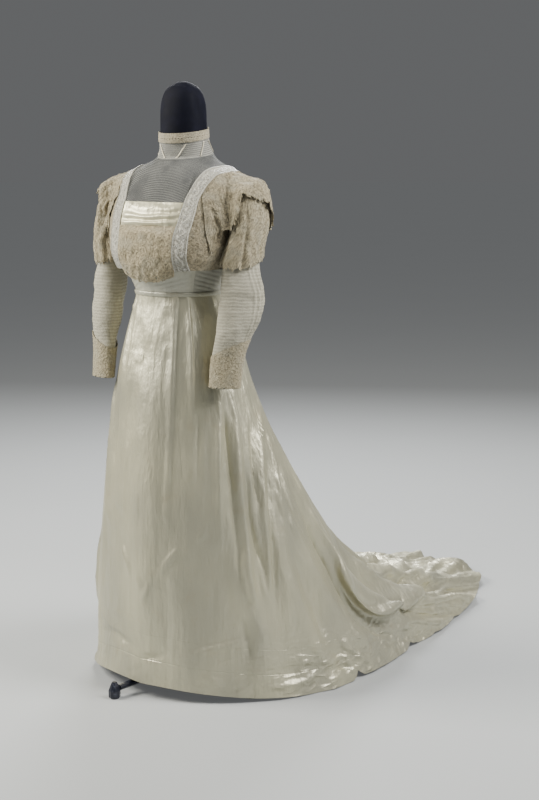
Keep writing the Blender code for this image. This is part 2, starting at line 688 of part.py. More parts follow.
def sleeve_rings(turn):
    """Points of the left sleeve's rings, from the armhole to the wrist, at angles round the arm.

    0 degrees is the top or outside of the arm, 90 its back and -90 its front.
    """
    t = np.radians(turn)
    y = ARMHOLE_Y + ARMHOLE_DEPTH * np.sin(t)
    z = ARMHOLE_Z + ARMHOLE_HEIGHT * np.cos(t)
    half_width, centre, half_depth, roundness = body_section(z)
    x = half_width * (1 - np.abs((y - centre) / half_depth) ** roundness) ** (1 / roundness)
    rings = [np.stack([x + OFF_FORM, y, z], axis=-1)]
    px, pz = ARMPIT
    for tilt, near, far, half, py in SLEEVE_HEAD:
        a = math.radians(tilt)
        reach = (far + near) / 2 + (far - near) / 2 * np.cos(t)
        ring = [px + math.sin(a) * reach, py + half * np.sin(t), pz + math.cos(a) * reach]
        rings.append(np.stack(ring, axis=-1))
    for height, cx, cy, broad, thin, direction in SLEEVE_ARM:
        a = math.radians(direction)
        along = np.array([math.cos(a), math.sin(a)])
        across = np.array([-math.sin(a), math.cos(a)])
        plan = np.stack([np.cos(t), np.sin(t)], axis=-1)
        spot = broad * (plan @ along)[:, None] * along + thin * (plan @ across)[:, None] * across
        rings.append(np.stack([cx + spot[:, 0], cy + spot[:, 1], np.full(len(turn), height)], axis=-1))
    return np.stack(rings)


def sleeve_surface(turn, row):
    """Sleeve points between its rings; turn and row are grids of the same shape."""
    every = np.stack([sleeve_rings(line) for line in turn])
    out = np.empty(turn.shape + (3,))
    knots = np.arange(every.shape[1])
    for i in range(turn.shape[0]):
        for j in range(turn.shape[1]):
            out[i, j] = [float(pchip(knots, every[i, :, j, k], row[i, j])) for k in range(3)]
    return out


SLEEVE_ROWS = np.array([0.0, 0.5, 1.0, 1.5, 2.0, 3.0, 4.0, 5.0, 6.0, 7.0, 8.0, 9.0, 10.0, 11.0])
WRIST_ROW = 11.0


# The shoulder cape lies from the strap over the armhole onto the sleeve. Its columns round the sleeve head,
# its rows on the body (share of the way from the strap to the armhole) and on the sleeve, and its hem:
# angle, sleeve row of the hem
CAPE_TURN = np.array([-112, -106, -98, -86, -74, -62, -50, -38, -24, -8, 8, 24, 40, 56, 72, 88, 104, 124.0])
CAPE_ON_BODY = np.array([0.12, 0.55, 1.0])
CAPE_OFF_BODY = np.array([3.5, 6.0, 5.8]) * MM
CAPE_ON_SLEEVE = np.array([0.0, 0.22, 0.5, 1.0])
CAPE_FIRST_ROW = 0.5
CAPE_HEM = [
    (-98, 2.90),
    (-85, 2.45),
    (-70, 2.10),
    (-58, 1.55),
    (-50, 1.45),
    (-35, 1.75),
    (-10, 2.05),
    (20, 2.50),
    (40, 3.20),
    (70, 3.40),
    (100, 3.40),
    (124, 3.70),
]
CAPE_STRAP_REACH = 0.42  # place along the strap where the cape's front and back corners are
CAPE_LIFT = 6.2 * MM
CAPE_SWELL = 2.0 * MM
CAPE_CLEAR = 4.2 * MM  # over the lace sleeve
# Its front columns hang over the bodice: y and height of their ends; the first is a pointed tail
CAPE_FRONT = [
    (-0.080, 1.100),
    (-0.068, 1.150),
]
CAPE_FRONT_JOIN = (0.25, 0.5, 0.75)  # columns between these and the rest, as shares of the way
CAPE_FRONT_SHARE = np.array([0.04, 0.16, 0.30, 0.45, 0.62, 0.80, 1.0])

# The lace sleeve under it, from a seam on the net sleeve to its own hem
LACE_SLEEVE_TURN = np.linspace(-145, 145, 19)
LACE_SLEEVE_SHARE = np.array([0.0, 0.14, 0.32, 0.5, 0.75, 1.0])
LACE_SLEEVE_TOP = 1.25
SEWN_ON = 2.9 * MM  # its sewn edge stands this far off the sleeve's inner face
LACE_SLEEVE_LIFT = 4.2 * MM
LACE_SLEEVE_SWELL = 5.2 * MM


def build_sleeve(finish):
    """Tucked net sleeves with lace cuffs, and the two lace tiers over the upper arm."""
    turn = np.arange(16) * 22.5
    mesh_turn, mesh_row = np.meshgrid(turn, SLEEVE_ROWS)
    grid = sleeve_surface(mesh_turn, mesh_row)
    ripple = 1.3 * MM * np.sin(mesh_row * 3.3 + np.radians(mesh_turn) * 2) * ease((mesh_row - 5) / 2)
    ripple *= ease((10.5 - mesh_row) / 1.5)
    side = -normals(grid, True)
    grid = grid + side * ripple[..., None]
    inner, outer = grid + side * 0.0, grid + side * NET

    # The cuff lies on the sleeve's own facets; its upper edge rises to a point on the outside
    start = 9.92 - 0.85 * (np.cos(np.radians(turn - 20)) + 1) / 2
    index = np.searchsorted(SLEEVE_ROWS, start, side="right") - 1
    share = (start - SLEEVE_ROWS[index])[:, None]
    pick = np.arange(len(turn))
    tip = outer[index, pick] * (1 - share) + outer[index + 1, pick] * share
    tip_side = side[index, pick] * (1 - share) + side[index + 1, pick] * share
    cuff_in = np.stack([tip, outer[-2], outer[-1]]) + np.stack([tip_side, side[-2], side[-1]]) * 0.7 * MM
    cuff_out = cuff_in + np.stack([tip_side, side[-2], side[-1]]) * LACE

    upper = shoulder_cape()
    lower = lace_sleeve()
    upper_holes = {(5, c) for c in (5, 7, 9)}
    flip = np.array([-1.0, 1.0, 1.0])
    for name, sign in (("left", np.ones(3)), ("right", flip)):
        wall(f"sleeve_{name}", inner * sign, outer * sign, finish["net"], closed=True)
        wall(f"cuff_{name}", cuff_in * sign, cuff_out * sign, finish["lace"], closed=True)
        wall(f"lace_tier_upper_{name}", upper[0] * sign, upper[1] * sign, finish["lace"], holes=upper_holes)
        wall(f"lace_tier_lower_{name}", lower[0] * sign, lower[1] * sign, finish["lace"])


def lace_sleeve_hem(turn):
    """Sleeve row of the lace sleeve's scalloped edge: it hangs lowest at the front."""
    return 5.68 + 0.24 * np.cos(np.radians(turn + 80)) + 0.10 * np.abs(np.sin(np.radians(turn) * 6))


def lace_sleeve_lift(turn, row):
    """How far the lace sleeve stands off the net one: soft folds that deepen to its hem."""
    share = np.clip((row - LACE_SLEEVE_TOP) / (lace_sleeve_hem(turn) - LACE_SLEEVE_TOP), 0, 1)
    fold = 0.5 + 0.5 * np.sin(np.radians(turn) * 7 + 0.6)
    start = SEWN_ON + (LACE_SLEEVE_LIFT - SEWN_ON) * ease(share / LACE_SLEEVE_SHARE[1])
    return start + LACE_SLEEVE_SWELL * fold * ease(share * 1.15)


def lace_sleeve():
    """Inner and outer points of the left lace sleeve, open under the arm."""
    turn, share = np.meshgrid(LACE_SLEEVE_TURN, LACE_SLEEVE_SHARE)
    row = LACE_SLEEVE_TOP + (lace_sleeve_hem(turn) - LACE_SLEEVE_TOP) * share
    grid = sleeve_surface(turn, row)
    side = -normals(grid, False)
    inner = grid + side * lace_sleeve_lift(turn, row)[..., None]
    return inner, inner + side * LACE


def shoulder_cape():
    """Inner and outer points of the left shoulder cape."""
    along = CAPE_TURN / np.abs(CAPE_TURN[0]) * CAPE_STRAP_REACH
    first, first_z = strap_edge(STRAP_OUTER, np.clip(along, -CAPE_STRAP_REACH, CAPE_STRAP_REACH))
    deeper, higher = ARMHOLE_CLEAR
    turn = np.radians(CAPE_TURN)
    arm_z = ARMHOLE_Z + (ARMHOLE_HEIGHT + higher) * np.cos(turn)
    arm = angle_of_y(ARMHOLE_Y + (ARMHOLE_DEPTH + deeper) * np.sin(turn), arm_z)
    toward_front = ease((-76.0 - CAPE_TURN) / 22)
    share = CAPE_ON_BODY[:, None] * (1 - 0.2 * toward_front)
    across, down = first + (arm - first) * share, first_z + (arm_z - first_z) * share
    off = np.repeat(CAPE_OFF_BODY[:, None], len(turn), axis=1)
    hanging, outside = [], []
    for k, (end_y, end_z) in enumerate(CAPE_FRONT):
        z = first_z[k] + (end_z - first_z[k]) * CAPE_FRONT_SHARE
        angle = first[k] + (angle_of_y(end_y, end_z) - first[k]) * CAPE_FRONT_SHARE
        rise = 3.5 * MM + (2.6 * MM + blouse(z, 0.75)) * ease(CAPE_FRONT_SHARE * 5)
        across[:, k], down[:, k], off[:, k] = angle[:3], z[:3], rise[:3]
        spots, outward = body_frame(angle, z)
        hanging.append((spots + outward * rise[:, None])[3:])
        outside.append(outward[3:])

    mesh_turn, part = np.meshgrid(CAPE_TURN, CAPE_ON_SLEEVE)
    hem = pchip(column(CAPE_HEM, 0), column(CAPE_HEM, 1), mesh_turn)
    hem = hem + 0.10 * np.abs(np.sin(np.radians(mesh_turn) * 7))
    begin = CAPE_FIRST_ROW + 0.9 * toward_front
    row = begin + (hem - begin) * part
    on_sleeve = sleeve_surface(mesh_turn, row)
    side = -normals(on_sleeve, False)
    under = np.where(row > LACE_SLEEVE_TOP - 0.3, lace_sleeve_lift(mesh_turn, row) + LACE + CAPE_CLEAR, 0)
    lift = np.maximum(CAPE_LIFT, under)
    lift = lift + CAPE_SWELL * (0.5 + 0.5 * np.sin(np.radians(mesh_turn) * 5)) * ease(part * 1.4)
    lower = on_sleeve + side * lift[..., None]
    last = len(CAPE_FRONT)
    lower[:, :last], side[:, :last] = np.stack(hanging, axis=1), np.stack(outside, axis=1)
    across, down, off, lower, side = (joined(table, last) for table in (across, down, off, lower, side))
    on_body, outward = body_frame(across, down)
    inner = np.concatenate([on_body + outward * off[..., None], lower])
    facing = np.concatenate([outward, side])
    facing[2] = facing[2] + facing[3]
    return inner, inner + facing / np.linalg.norm(facing, axis=-1, keepdims=True) * LACE


def joined(table, last):
    """The table with columns added between its front columns and the rest."""
    before, after = table[:, last - 1], table[:, last]
    between = [before + (after - before) * share for share in CAPE_FRONT_JOIN]
    return np.concatenate([table[:, :last], np.stack(between, axis=1), table[:, last:]], axis=1)


# Skirt

def skirt_point(angle, row):
    """Points of the skirt's plain shape. row counts the SKIRT table's rows, and is under 0 over the hips."""
    turn = np.radians(angle)
    rows = np.arange(len(SKIRT))
    c, s = np.cos(turn), np.sin(turn)
    z_front, z_side, z_back, left, right, middle, front, back, round_back = (
        pchip(rows, column(SKIRT, k), row) for k in range(9)
    )
    exponent = np.where(c > 0, 1.0, 2 / round_back)
    x = np.where(s > 0, left, right) * power(s, np.where(c > 0, 1.0, 2 / round_back))
    y = np.where(c > 0, middle - (middle - front) * power(c, exponent),
                 middle + (back - middle) * power(-c, exponent))
    z = z_side + np.where(c > 0, (z_front - z_side) * c ** 4, (z_back - z_side) * c ** 2)
    off_floor = np.where((s < 0) & (c > 0), -s * c ** 4, 0.0) * RIGHT_HEM_LIFT * ease((row - 6) / 3)
    return np.stack([x, y, z + off_floor], axis=-1)


def skirt_fold(angle, share):
    """Height of the skirt's folds. share runs from 0 at the waist to 1 at the hem."""
    total = np.zeros(np.broadcast(angle, share).shape)
    for hip, hem, before, after, height, start in SKIRT_FOLDS:
        centre = hip + (hem - hip) * share
        away = (angle - centre + 180) % 360 - 180
        width = np.where(away < 0, before, after)
        growth = ease((share - start) / (1.05 - start)) ** 1.1
        total = np.maximum(total, height * np.exp(-((away / width) ** 2)) * growth)
    return total


# Heights of the skirt's rows over the hips, and the table rows that follow them
HIP_HEIGHTS = [WAIST, WAIST - BELT_HALF, 0.970, 0.930, 0.870, 0.795]
HIP_EASE = [0.0, 0.0, 0.5 * MM, 1.4 * MM, 3.0 * MM, 6.5 * MM]
TABLE_ROWS = [0.1, 1.6, 3.0, 4.0, 5.0, 5.8, 6.6, 7.4, 8.2, 9.0]


def skirt_grid(angles):
    """Inner points of the whole skirt, from the waist to the hem, folds included, and its normals."""
    rows, fixed = [], []
    for z, loose in zip(HIP_HEIGHTS, HIP_EASE):
        spots, outward = body_frame(angles, np.full(len(angles), z))
        rows.append(spots + outward * (OFF_FORM + loose))
        fixed.append(outward)
    for row in TABLE_ROWS:
        rows.append(skirt_point(angles, np.full(len(angles), row)))
    grid = np.stack(rows)
    steps = np.linalg.norm(np.diff(grid, axis=0), axis=-1)
    length = np.concatenate([np.zeros((1, len(angles))), np.cumsum(steps, axis=0)])
    share = length / length[-1]
    side = -normals(grid, True)
    on_floor = ease((0.10 - grid[..., 2]) / 0.08)
    lift = skirt_fold(angles, share) * (1 - (1 - FLOOR_FOLD_SHARE) * on_floor)
    lift = lift * (1 - 0.45 * ease((share - 0.93) / 0.07))
    grid = grid + side * lift[..., None]
    side = -normals(grid, True)
    side[:2] = fixed[:2]
    return grid, side


def build_skirt(finish):
    """Six gores from one grid of rows and angles, so that their seams meet."""
    inner, side = skirt_grid(SKIRT_COLUMNS)
    outer = inner + side * SATIN
    for name, (first, last) in GORES.items():
        picks = np.flatnonzero((SKIRT_COLUMNS >= first) & (SKIRT_COLUMNS <= last))
        if last == 288:
            picks = np.append(picks, 0)
        # the rows run down from the waist, so the grid's bottom edge is the waist seam
        gore = [trimmed(side_points[:, picks], bottom=True) for side_points in (inner, outer)]
        wall(name, *gore, finish["satin"])


def centre_on_floor():
    """Moves everything so that the origin is on the floor under the middle of the footprint."""
    low, high = np.full(3, 1e9), np.full(3, -1e9)
    for obj in bpy.data.objects:
        points = np.array([v.co for v in obj.data.vertices])
        low, high = np.minimum(low, points.min(axis=0)), np.maximum(high, points.max(axis=0))
    shift = -(low + high) / 2
    for obj in bpy.data.objects:
        obj.location = (shift[0], shift[1], -low[2])


def main():
    """Clears the scene and builds every piece."""
    for obj in list(bpy.data.objects):
        bpy.data.objects.remove(obj)
    finish = {name: make_material(name) for name in COLOURS}
    build_form(finish)
    build_collar(finish)
    build_yoke(finish)
    build_front(finish)
    build_straps(finish)
    build_sides(finish)
    build_midriff(finish)
    build_sleeve(finish)
    build_skirt(finish)
    centre_on_floor()


main()
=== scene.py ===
"""The looks of a satin, net and lace bridal gown of about 1909 that stands on a black dress form.

Every sub-assembly is a class that holds its sizes and builds and dresses its own pieces. Angles round the
body run from 0 at the centre front, through 90 degrees at the gown's left side, to 180 at the centre back.
The classes work in the body's own frame, whose upright axis is the stand's pole, and the pieces are moved
to the shared frame as they are made. Lengths are in metres.
"""

import logging
import math
from collections.abc import Sequence
from dataclasses import dataclass, field
from enum import Enum

import bpy
import numpy as np
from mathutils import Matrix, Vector


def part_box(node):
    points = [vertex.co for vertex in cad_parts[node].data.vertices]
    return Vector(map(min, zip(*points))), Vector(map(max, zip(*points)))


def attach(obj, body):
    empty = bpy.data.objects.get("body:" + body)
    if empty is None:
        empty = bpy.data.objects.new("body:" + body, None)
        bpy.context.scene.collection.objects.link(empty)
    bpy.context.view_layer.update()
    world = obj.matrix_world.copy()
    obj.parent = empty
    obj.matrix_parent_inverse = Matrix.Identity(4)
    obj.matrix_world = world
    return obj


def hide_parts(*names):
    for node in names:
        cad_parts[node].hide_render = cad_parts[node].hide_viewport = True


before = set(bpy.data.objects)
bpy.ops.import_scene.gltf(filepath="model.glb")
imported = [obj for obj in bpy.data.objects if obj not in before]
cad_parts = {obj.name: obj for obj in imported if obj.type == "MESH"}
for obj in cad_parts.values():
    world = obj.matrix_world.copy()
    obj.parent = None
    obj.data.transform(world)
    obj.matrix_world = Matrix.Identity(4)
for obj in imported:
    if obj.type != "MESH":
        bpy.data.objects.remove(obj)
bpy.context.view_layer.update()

log = logging.getLogger("gown")

Array = np.ndarray
Colour = tuple[float, float, float]
Value = "Field | float"
Input = "Field | float | Sequence[float]"
MM = 0.001
ON_FORM = 0.8 * MM  # cloth's inner face to the surface it is worked from
SATIN_THICK = 1.0 * MM
NET_THICK = 0.7 * MM
LACE_THICK = 1.0 * MM
MIRROR = np.array([-1.0, 1.0, 1.0])
WORLD_TONE = (0.80, 0.82, 0.84)
WORLD_LIGHT = 0.16


class Slot(Enum):
    """The record's material slots."""

    SATIN = "satin"
    NET = "net"
    LACE = "lace"
    BRAID = "braid"
    JERSEY = "jersey"
    IRON = "iron"


class Held(Enum):
    """How a sheet of cloth is held."""

    DRAPED = "draped"
    HUNG = "hung"
    GATHERED = "gathered"
    STRETCHED = "stretched"


# Curves, noise and grids


def ease(t: Array) -> Array:
    """Smooth step from 0 to 1: 3 t^2 - 2 t^3 with t held between 0 and 1."""
    t = np.clip(t, 0.0, 1.0)
    return t * t * (3 - 2 * t)


def power(value: Array, exponent: Array | float) -> Array:
    """A power that keeps the sign of its base."""
    return np.sign(value) * np.abs(value) ** exponent


def bell(distance: Array, width: Array | float) -> Array:
    """A soft bump: exp(-(distance / width)^2)."""
    return np.exp(-((distance / width) ** 2))


def smooth_curve(knots: Sequence[float], values: Array, at: Array) -> Array:
    """Cubic curve through the knots that never overshoots between two of them.

    The tangent at an inner knot is the harmonic mean of the slopes beside it, or 0 where they differ in sign.

    Args:
        knots: Rising places of the knots.
        values: Value at each knot along the first axis; a second axis holds columns with their own curves.
        at: Places to read. With columns, its last axis runs over them.

    Returns:
        The curve's values at those places.
    """
    knots, values = np.asarray(knots, float), np.asarray(values, float)
    at = np.clip(np.asarray(at, float), knots[0], knots[-1])
    step = np.diff(knots)
    slope = np.diff(values, axis=0) / step.reshape(-1, *[1] * (values.ndim - 1))
    product = slope[:-1] * slope[1:]
    total = np.where(product > 0, slope[:-1] + slope[1:], 1.0)
    tangent = np.zeros_like(values)
    tangent[1:-1] = np.where(product > 0, 2 * product / total, 0.0)
    tangent[0], tangent[-1] = slope[0], slope[-1]
    i = np.clip(np.searchsorted(knots, at, side="right") - 1, 0, len(step) - 1)
    t, span = (at - knots[i]) / step[i], step[i]

    def pick(table: Array, index: Array) -> Array:
        """The table's entry for each place, from the place's own column."""
        return table[index] if table.ndim == 1 else table[index, np.arange(table.shape[1])]

    if values.ndim > 2:
        t, span = t[..., None], span[..., None]
    return (
        pick(values, i) * (1 + 2 * t) * (1 - t) ** 2
        + pick(tangent, i) * span * t * (1 - t) ** 2
        + pick(values, i + 1) * t * t * (3 - 2 * t)
        + pick(tangent, i + 1) * span * t * t * (t - 1)
    )


def column(table: Sequence[Sequence[float]], index: int) -> Array:
    """One column of a table as an array."""
    return np.array([row[index] for row in table], float)


def xyz(x: Array, y: Array, z: Array) -> Array:
    """Points from their three coordinates."""
    return np.stack([x, y, z], axis=-1)


def unit(vectors: Array) -> Array:
    """The vectors at length 1."""
    return vectors / np.maximum(np.linalg.norm(vectors, axis=-1, keepdims=True), 1e-12)


def soft_noise(points: Array, size: float, seed: int, stretch: Sequence[float] = (1.0, 1.0, 1.0)) -> Array:
    """Smooth noise from -1 to 1: random numbers at the corners of cubes, mixed with eased weights.

    Args:
        points: Places, with x, y and z on the last axis.
        size: Side of the cubes.
        seed: Seed of the random numbers.
        stretch: How many times finer it is along each axis.

    Returns:
        The noise at each place.
    """
    side = 32
    table = np.random.default_rng(seed).uniform(-1, 1, (side, side, side))
    spot = points * np.array(stretch) / size
    corner = np.floor(spot).astype(int)
    part = ease(spot - corner)
    total = np.zeros(points.shape[:-1])
    for step in np.ndindex(2, 2, 2):
        weight = np.prod(np.where(np.array(step) > 0, part, 1 - part), axis=-1)
        i, j, k = np.moveaxis((corner + step) % side, -1, 0)
        total += weight * table[i, j, k]
    return total


def normals(grid: Array, closed: bool = False) -> Array:
    """Unit normals of a grid: the cross product of its steps across and along.

    Args:
        grid: Points, rows first.
        closed: True where the last column joins the first.

    Returns:
        One unit vector for each point.
    """
    if closed:
        across = np.roll(grid, -1, axis=1) - np.roll(grid, 1, axis=1)
    else:
        across = np.gradient(grid, axis=1)
    return unit(np.cross(across, np.gradient(grid, axis=0)))


def lengths(grid: Array, axis: int) -> Array:
    """Distance travelled along the lines of a grid, from 0 at their start.

    Args:
        grid: Points, rows first.
        axis: 1 to travel along the rows, 0 down the columns.

    Returns:
        The distance at each point.
    """
    steps = np.linalg.norm(np.diff(grid, axis=axis), axis=-1)
    start = np.zeros_like(np.take(steps, [0], axis=axis))
    return np.concatenate([start, np.cumsum(steps, axis=axis)], axis=axis)


def refined(grid: Array, rows: int, columns: int) -> Array:
    """A finer grid through the points of a coarse one, by smooth curves along both directions.

    Args:
        grid: Coarse points, rows first.
        rows: Rows of the finer grid.
        columns: Columns of the finer grid.

    Returns:
        The finer grid.
    """
    high, wide = grid.shape[:2]
    down = np.repeat(np.linspace(0, high - 1, rows)[:, None], wide, axis=1)
    tall = smooth_curve(np.arange(high), grid, down)
    over = np.repeat(np.linspace(0, wide - 1, columns)[:, None], rows, axis=1)
    return smooth_curve(np.arange(wide), tall.transpose(1, 0, 2), over).transpose(1, 0, 2)


def even_places(knots: Array, travelled: Array, count: int) -> Array:
    """Places that divide a curve evenly, from the distance travelled at its knots."""
    return np.interp(np.linspace(0, travelled[-1], count), travelled, knots)


def between(grid: Array, row: Array, column_at: Array) -> Array:
    """Points between those of a grid: the four round each place, mixed by how near they are.

    Args:
        grid: The grid's points, rows first.
        row: Places along its rows, in rows.
        column_at: Places across, in columns.

    Returns:
        One point for each place.
    """
    i = np.clip(row.astype(int), 0, grid.shape[0] - 2)
    j = np.clip(column_at.astype(int), 0, grid.shape[1] - 2)
    s, t = (column_at - j)[:, None], (row - i)[:, None]
    return ((grid[i, j] * (1 - s) + grid[i, j + 1] * s) * (1 - t)
            + (grid[i + 1, j] * (1 - s) + grid[i + 1, j + 1] * s) * t)


def drawn_in(grid: Array, gap: float) -> Array:
    """The grid with all four edges drawn in.

    Args:
        grid: Points, rows first.
        gap: How far each edge moves.

    Returns:
        The smaller grid.
    """
    grid = grid.copy()
    for edge, inner in ((np.s_[:, 0], np.s_[:, 1]), (np.s_[:, -1], np.s_[:, -2]), (0, 1), (-1, -2)):
        grid[edge] += unit(grid[inner] - grid[edge]) * gap
    return grid


# Meshes


def pole_offset() -> Array:
    """The body frame's origin in the shared frame: the foot of the pole."""
    low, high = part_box("stand_pole")
    return np.array([(low[0] + high[0]) / 2, (low[1] + high[1]) / 2, 0.0])


OFFSET = pole_offset()


def make_mesh(name: str, points: Array, quads: Array, triangles: Array | None = None) -> bpy.types.Object:
    """A smooth-shaded object from arrays of points in the body frame and faces.

    Args:
        name: The piece's name.
        points: Its points.
        quads: Four point numbers for each face, seen from outside in counter-clockwise order.
        triangles: The same for three-sided faces.

    Returns:
        The new object, at the shared frame's origin.
    """
    triangles = np.zeros((0, 3), int) if triangles is None else triangles
    if signed_volume(points, quads, triangles) < 0:
        quads, triangles = quads[:, ::-1], triangles[:, ::-1]
    mesh = bpy.data.meshes.new(name)
    mesh.vertices.add(len(points))
    mesh.vertices.foreach_set("co", (points + OFFSET).astype(np.float32).ravel())
    corners = np.concatenate([quads.ravel(), triangles.ravel()])
    mesh.loops.add(len(corners))
    mesh.loops.foreach_set("vertex_index", corners.astype(np.int32))
    count = len(quads) + len(triangles)
    starts = np.concatenate([np.arange(len(quads)) * 4, len(quads) * 4 + np.arange(len(triangles)) * 3])
    mesh.polygons.add(count)
    mesh.polygons.foreach_set("loop_start", starts.astype(np.int32))
    mesh.polygons.foreach_set("use_smooth", np.ones(count, bool))
    mesh.update(calc_edges=True)
    mesh.set_sharp_from_angle(angle=math.radians(55))
    piece = bpy.data.objects.new(name, mesh)
    bpy.context.scene.collection.objects.link(piece)
    return piece


def signed_volume(points: Array, quads: Array, triangles: Array) -> float:
    """Volume inside the faces, under 0 where they point inwards: a sum of tetrahedra on one point.

    Args:
        points: All the points.
        quads: Four point numbers for each face.
        triangles: Three for each of the others.

    Returns:
        The volume.
    """
    faces = np.concatenate([quads[:, [0, 1, 2]], quads[:, [0, 2, 3]], triangles])
    a, b, c = (points[faces[:, k]] - points.mean(axis=0) for k in range(3))
    return float(np.einsum("ij,ij->i", a, np.cross(b, c)).sum() / 6)


@dataclass
class Wall:
    """A thin closed shell of cloth between two grids of points.

    Attributes:
        inner: Points of the inner face, rows first.
        outer: Points of the outer face.
        closed: True where the last column joins the first.
        keep: Which cells are cloth; the rest are cut through. None keeps all.
        marks: Numbers on the points that its finish reads, by name.
    """

    inner: Array
    outer: Array
    closed: bool = False
    keep: Array | None = None
    marks: dict[str, Array] = field(default_factory=dict)

    def flipped(self) -> "Wall":
        """The same cloth on the gown's right side."""
        return Wall(self.inner * MIRROR, self.outer * MIRROR, self.closed, self.keep, self.marks)

    def cells(self) -> Array:
        """Which cells are cloth."""
        rows, columns = self.outer.shape[:2]
        spans = columns if self.closed else columns - 1
        return np.ones((rows - 1, spans), bool) if self.keep is None else self.keep

    def face(self) -> Array:
        """The outer face, its first column repeated at the end where it is closed."""
        return np.concatenate([self.outer, self.outer[:, :1]], axis=1) if self.closed else self.outer

    def flat(self) -> Array:
        """Flat coordinates in metres: distance along each row from its middle, and down each column."""
        grid = self.face()
        across = lengths(grid, 1)
        across = across - across[:, across.shape[1] // 2][:, None]
        return np.stack([across, np.broadcast_to(lengths(grid, 0), across.shape)], axis=-1)

    def cut(self) -> tuple[float, float, float]:
        """Width, length and area of the flat piece, from a wide row, the middle column and the cells."""
        grid = self.face()
        diagonal = grid[1:, 1:] - grid[:-1, :-1]
        other = grid[1:, :-1] - grid[:-1, 1:]
        area = float((np.linalg.norm(np.cross(diagonal, other), axis=-1) / 2)[self.cells()].sum())
        width = float(np.percentile(lengths(grid, 1)[:, -1], 94))
        length = float(np.median(lengths(grid, 0)[-1]))
        return width, length, min(area, width * length)

    def mesh(self, name: str) -> bpy.types.Object:
        """The shell as an object, with flat coordinates in metres as its UV map.

        Args:
            name: The piece's name.

        Returns:
            The new object.
        """
        rows, columns = self.outer.shape[:2]
        keep = self.cells()
        row, col = np.nonzero(keep)
        ring = [(row, col), (row, col + 1), (row + 1, col + 1), (row + 1, col)]
        number = np.stack([r * columns + c % columns for r, c in ring], axis=1)
        flat = self.flat()
        place = np.stack([flat[r, c] for r, c in ring], axis=1)
        shift = rows * columns
        quads = [number + shift, number[:, ::-1]]
        places = [place, place[:, ::-1]]
        around = np.pad(keep, 1)
        if self.closed:
            around[:, 0], around[:, -1] = around[:, -2], around[:, 1]
        beside = [(0, 1), (1, 2), (2, 1), (1, 0)]  # the neighbour over each of a cell's four edges
        for k, (down, over) in enumerate(beside):
            open_edge = ~around[row + down, col + over]
            a, b = number[open_edge, k], number[open_edge, (k + 1) % 4]
            quads.append(np.stack([b + shift, a + shift, a, b], axis=1))
            at_a, at_b = place[open_edge, k], place[open_edge, (k + 1) % 4]
            places.append(np.stack([at_b, at_a, at_a, at_b], axis=1))
        faces, spots = np.concatenate(quads), np.concatenate(places)
        used, faces = np.unique(faces, return_inverse=True)
        faces = faces.reshape(-1, 4)
        points = np.concatenate([self.inner.reshape(-1, 3), self.outer.reshape(-1, 3)])[used]
        turned = signed_volume(points, faces, np.zeros((0, 3), int)) < 0
        piece = make_mesh(name, points, faces)
        if turned:
            spots = spots[:, ::-1]
        piece.data.uv_layers.new(name="flat").data.foreach_set("uv", spots.astype(np.float32).ravel())
        for mark, values in self.marks.items():
            both = np.tile(np.broadcast_to(values, (rows, columns)).ravel(), 2)[used]
            own = piece.data.attributes.new(mark, "FLOAT", "POINT")
            own.data.foreach_set("value", both.astype(np.float32))
        return piece


def lofted(name: str, rings: Array) -> bpy.types.Object:
    """A solid through closed rings of points, its two ends closed by fans round their middles.

    Args:
        name: The piece's name.
        rings: Points, one ring for each row.

    Returns:
        The new object.
    """
    count, sides = rings.shape[:2]
    row, side = np.meshgrid(np.arange(count - 1), np.arange(sides), indexing="ij")
    row, side, after = row.ravel(), side.ravel(), (side.ravel() + 1) % sides
    quads = np.stack([row * sides + side, row * sides + after, (row + 1) * sides + after,
                      (row + 1) * sides + side], axis=1)
    points = np.concatenate([rings.reshape(-1, 3), rings[0].mean(axis=0)[None], rings[-1].mean(axis=0)[None]])
    one, two, last = np.arange(sides), (np.arange(sides) + 1) % sides, (count - 1) * sides
    low = np.stack([np.full(sides, count * sides), two, one], axis=1)
    high = np.stack([np.full(sides, count * sides + 1), last + one, last + two], axis=1)
    return make_mesh(name, points, quads, np.concatenate([low, high]))


def beads(name: str, centres: Array, radii: Array) -> bpy.types.Object:
    """Many small round beads as one mesh: each is a ball of five sides and three bands.

    Args:
        name: The piece's name.
        centres: The beads' middles.
        radii: Their radii.

    Returns:
        The new object.
    """
    sides, rises = 5, np.radians([-40.0, 40.0])
    turn = np.arange(sides) * 2 * math.pi / sides
    rings = [xyz(np.cos(turn) * math.cos(rise), np.sin(turn) * math.cos(rise), 0 * turn + math.sin(rise))
             for rise in rises]
    ball = np.concatenate([*rings, [[0, 0, -1.0], [0, 0, 1.0]]])
    one, two = np.arange(sides), (np.arange(sides) + 1) % sides
    quads = np.stack([one, two, two + sides, one + sides], axis=1)
    triangles = np.concatenate([np.stack([two, one, np.full(sides, 2 * sides)], axis=1),
                                np.stack([one + sides, two + sides, np.full(sides, 2 * sides + 1)], axis=1)])
    points = centres[:, None] + ball * radii[:, None, None]
    shift = np.arange(len(centres))[:, None, None] * len(ball)
    quads, triangles = (quads + shift).reshape(-1, 4), (triangles + shift).reshape(-1, 3)
    return make_mesh(name, points.reshape(-1, 3), quads, triangles)


# Shader maths


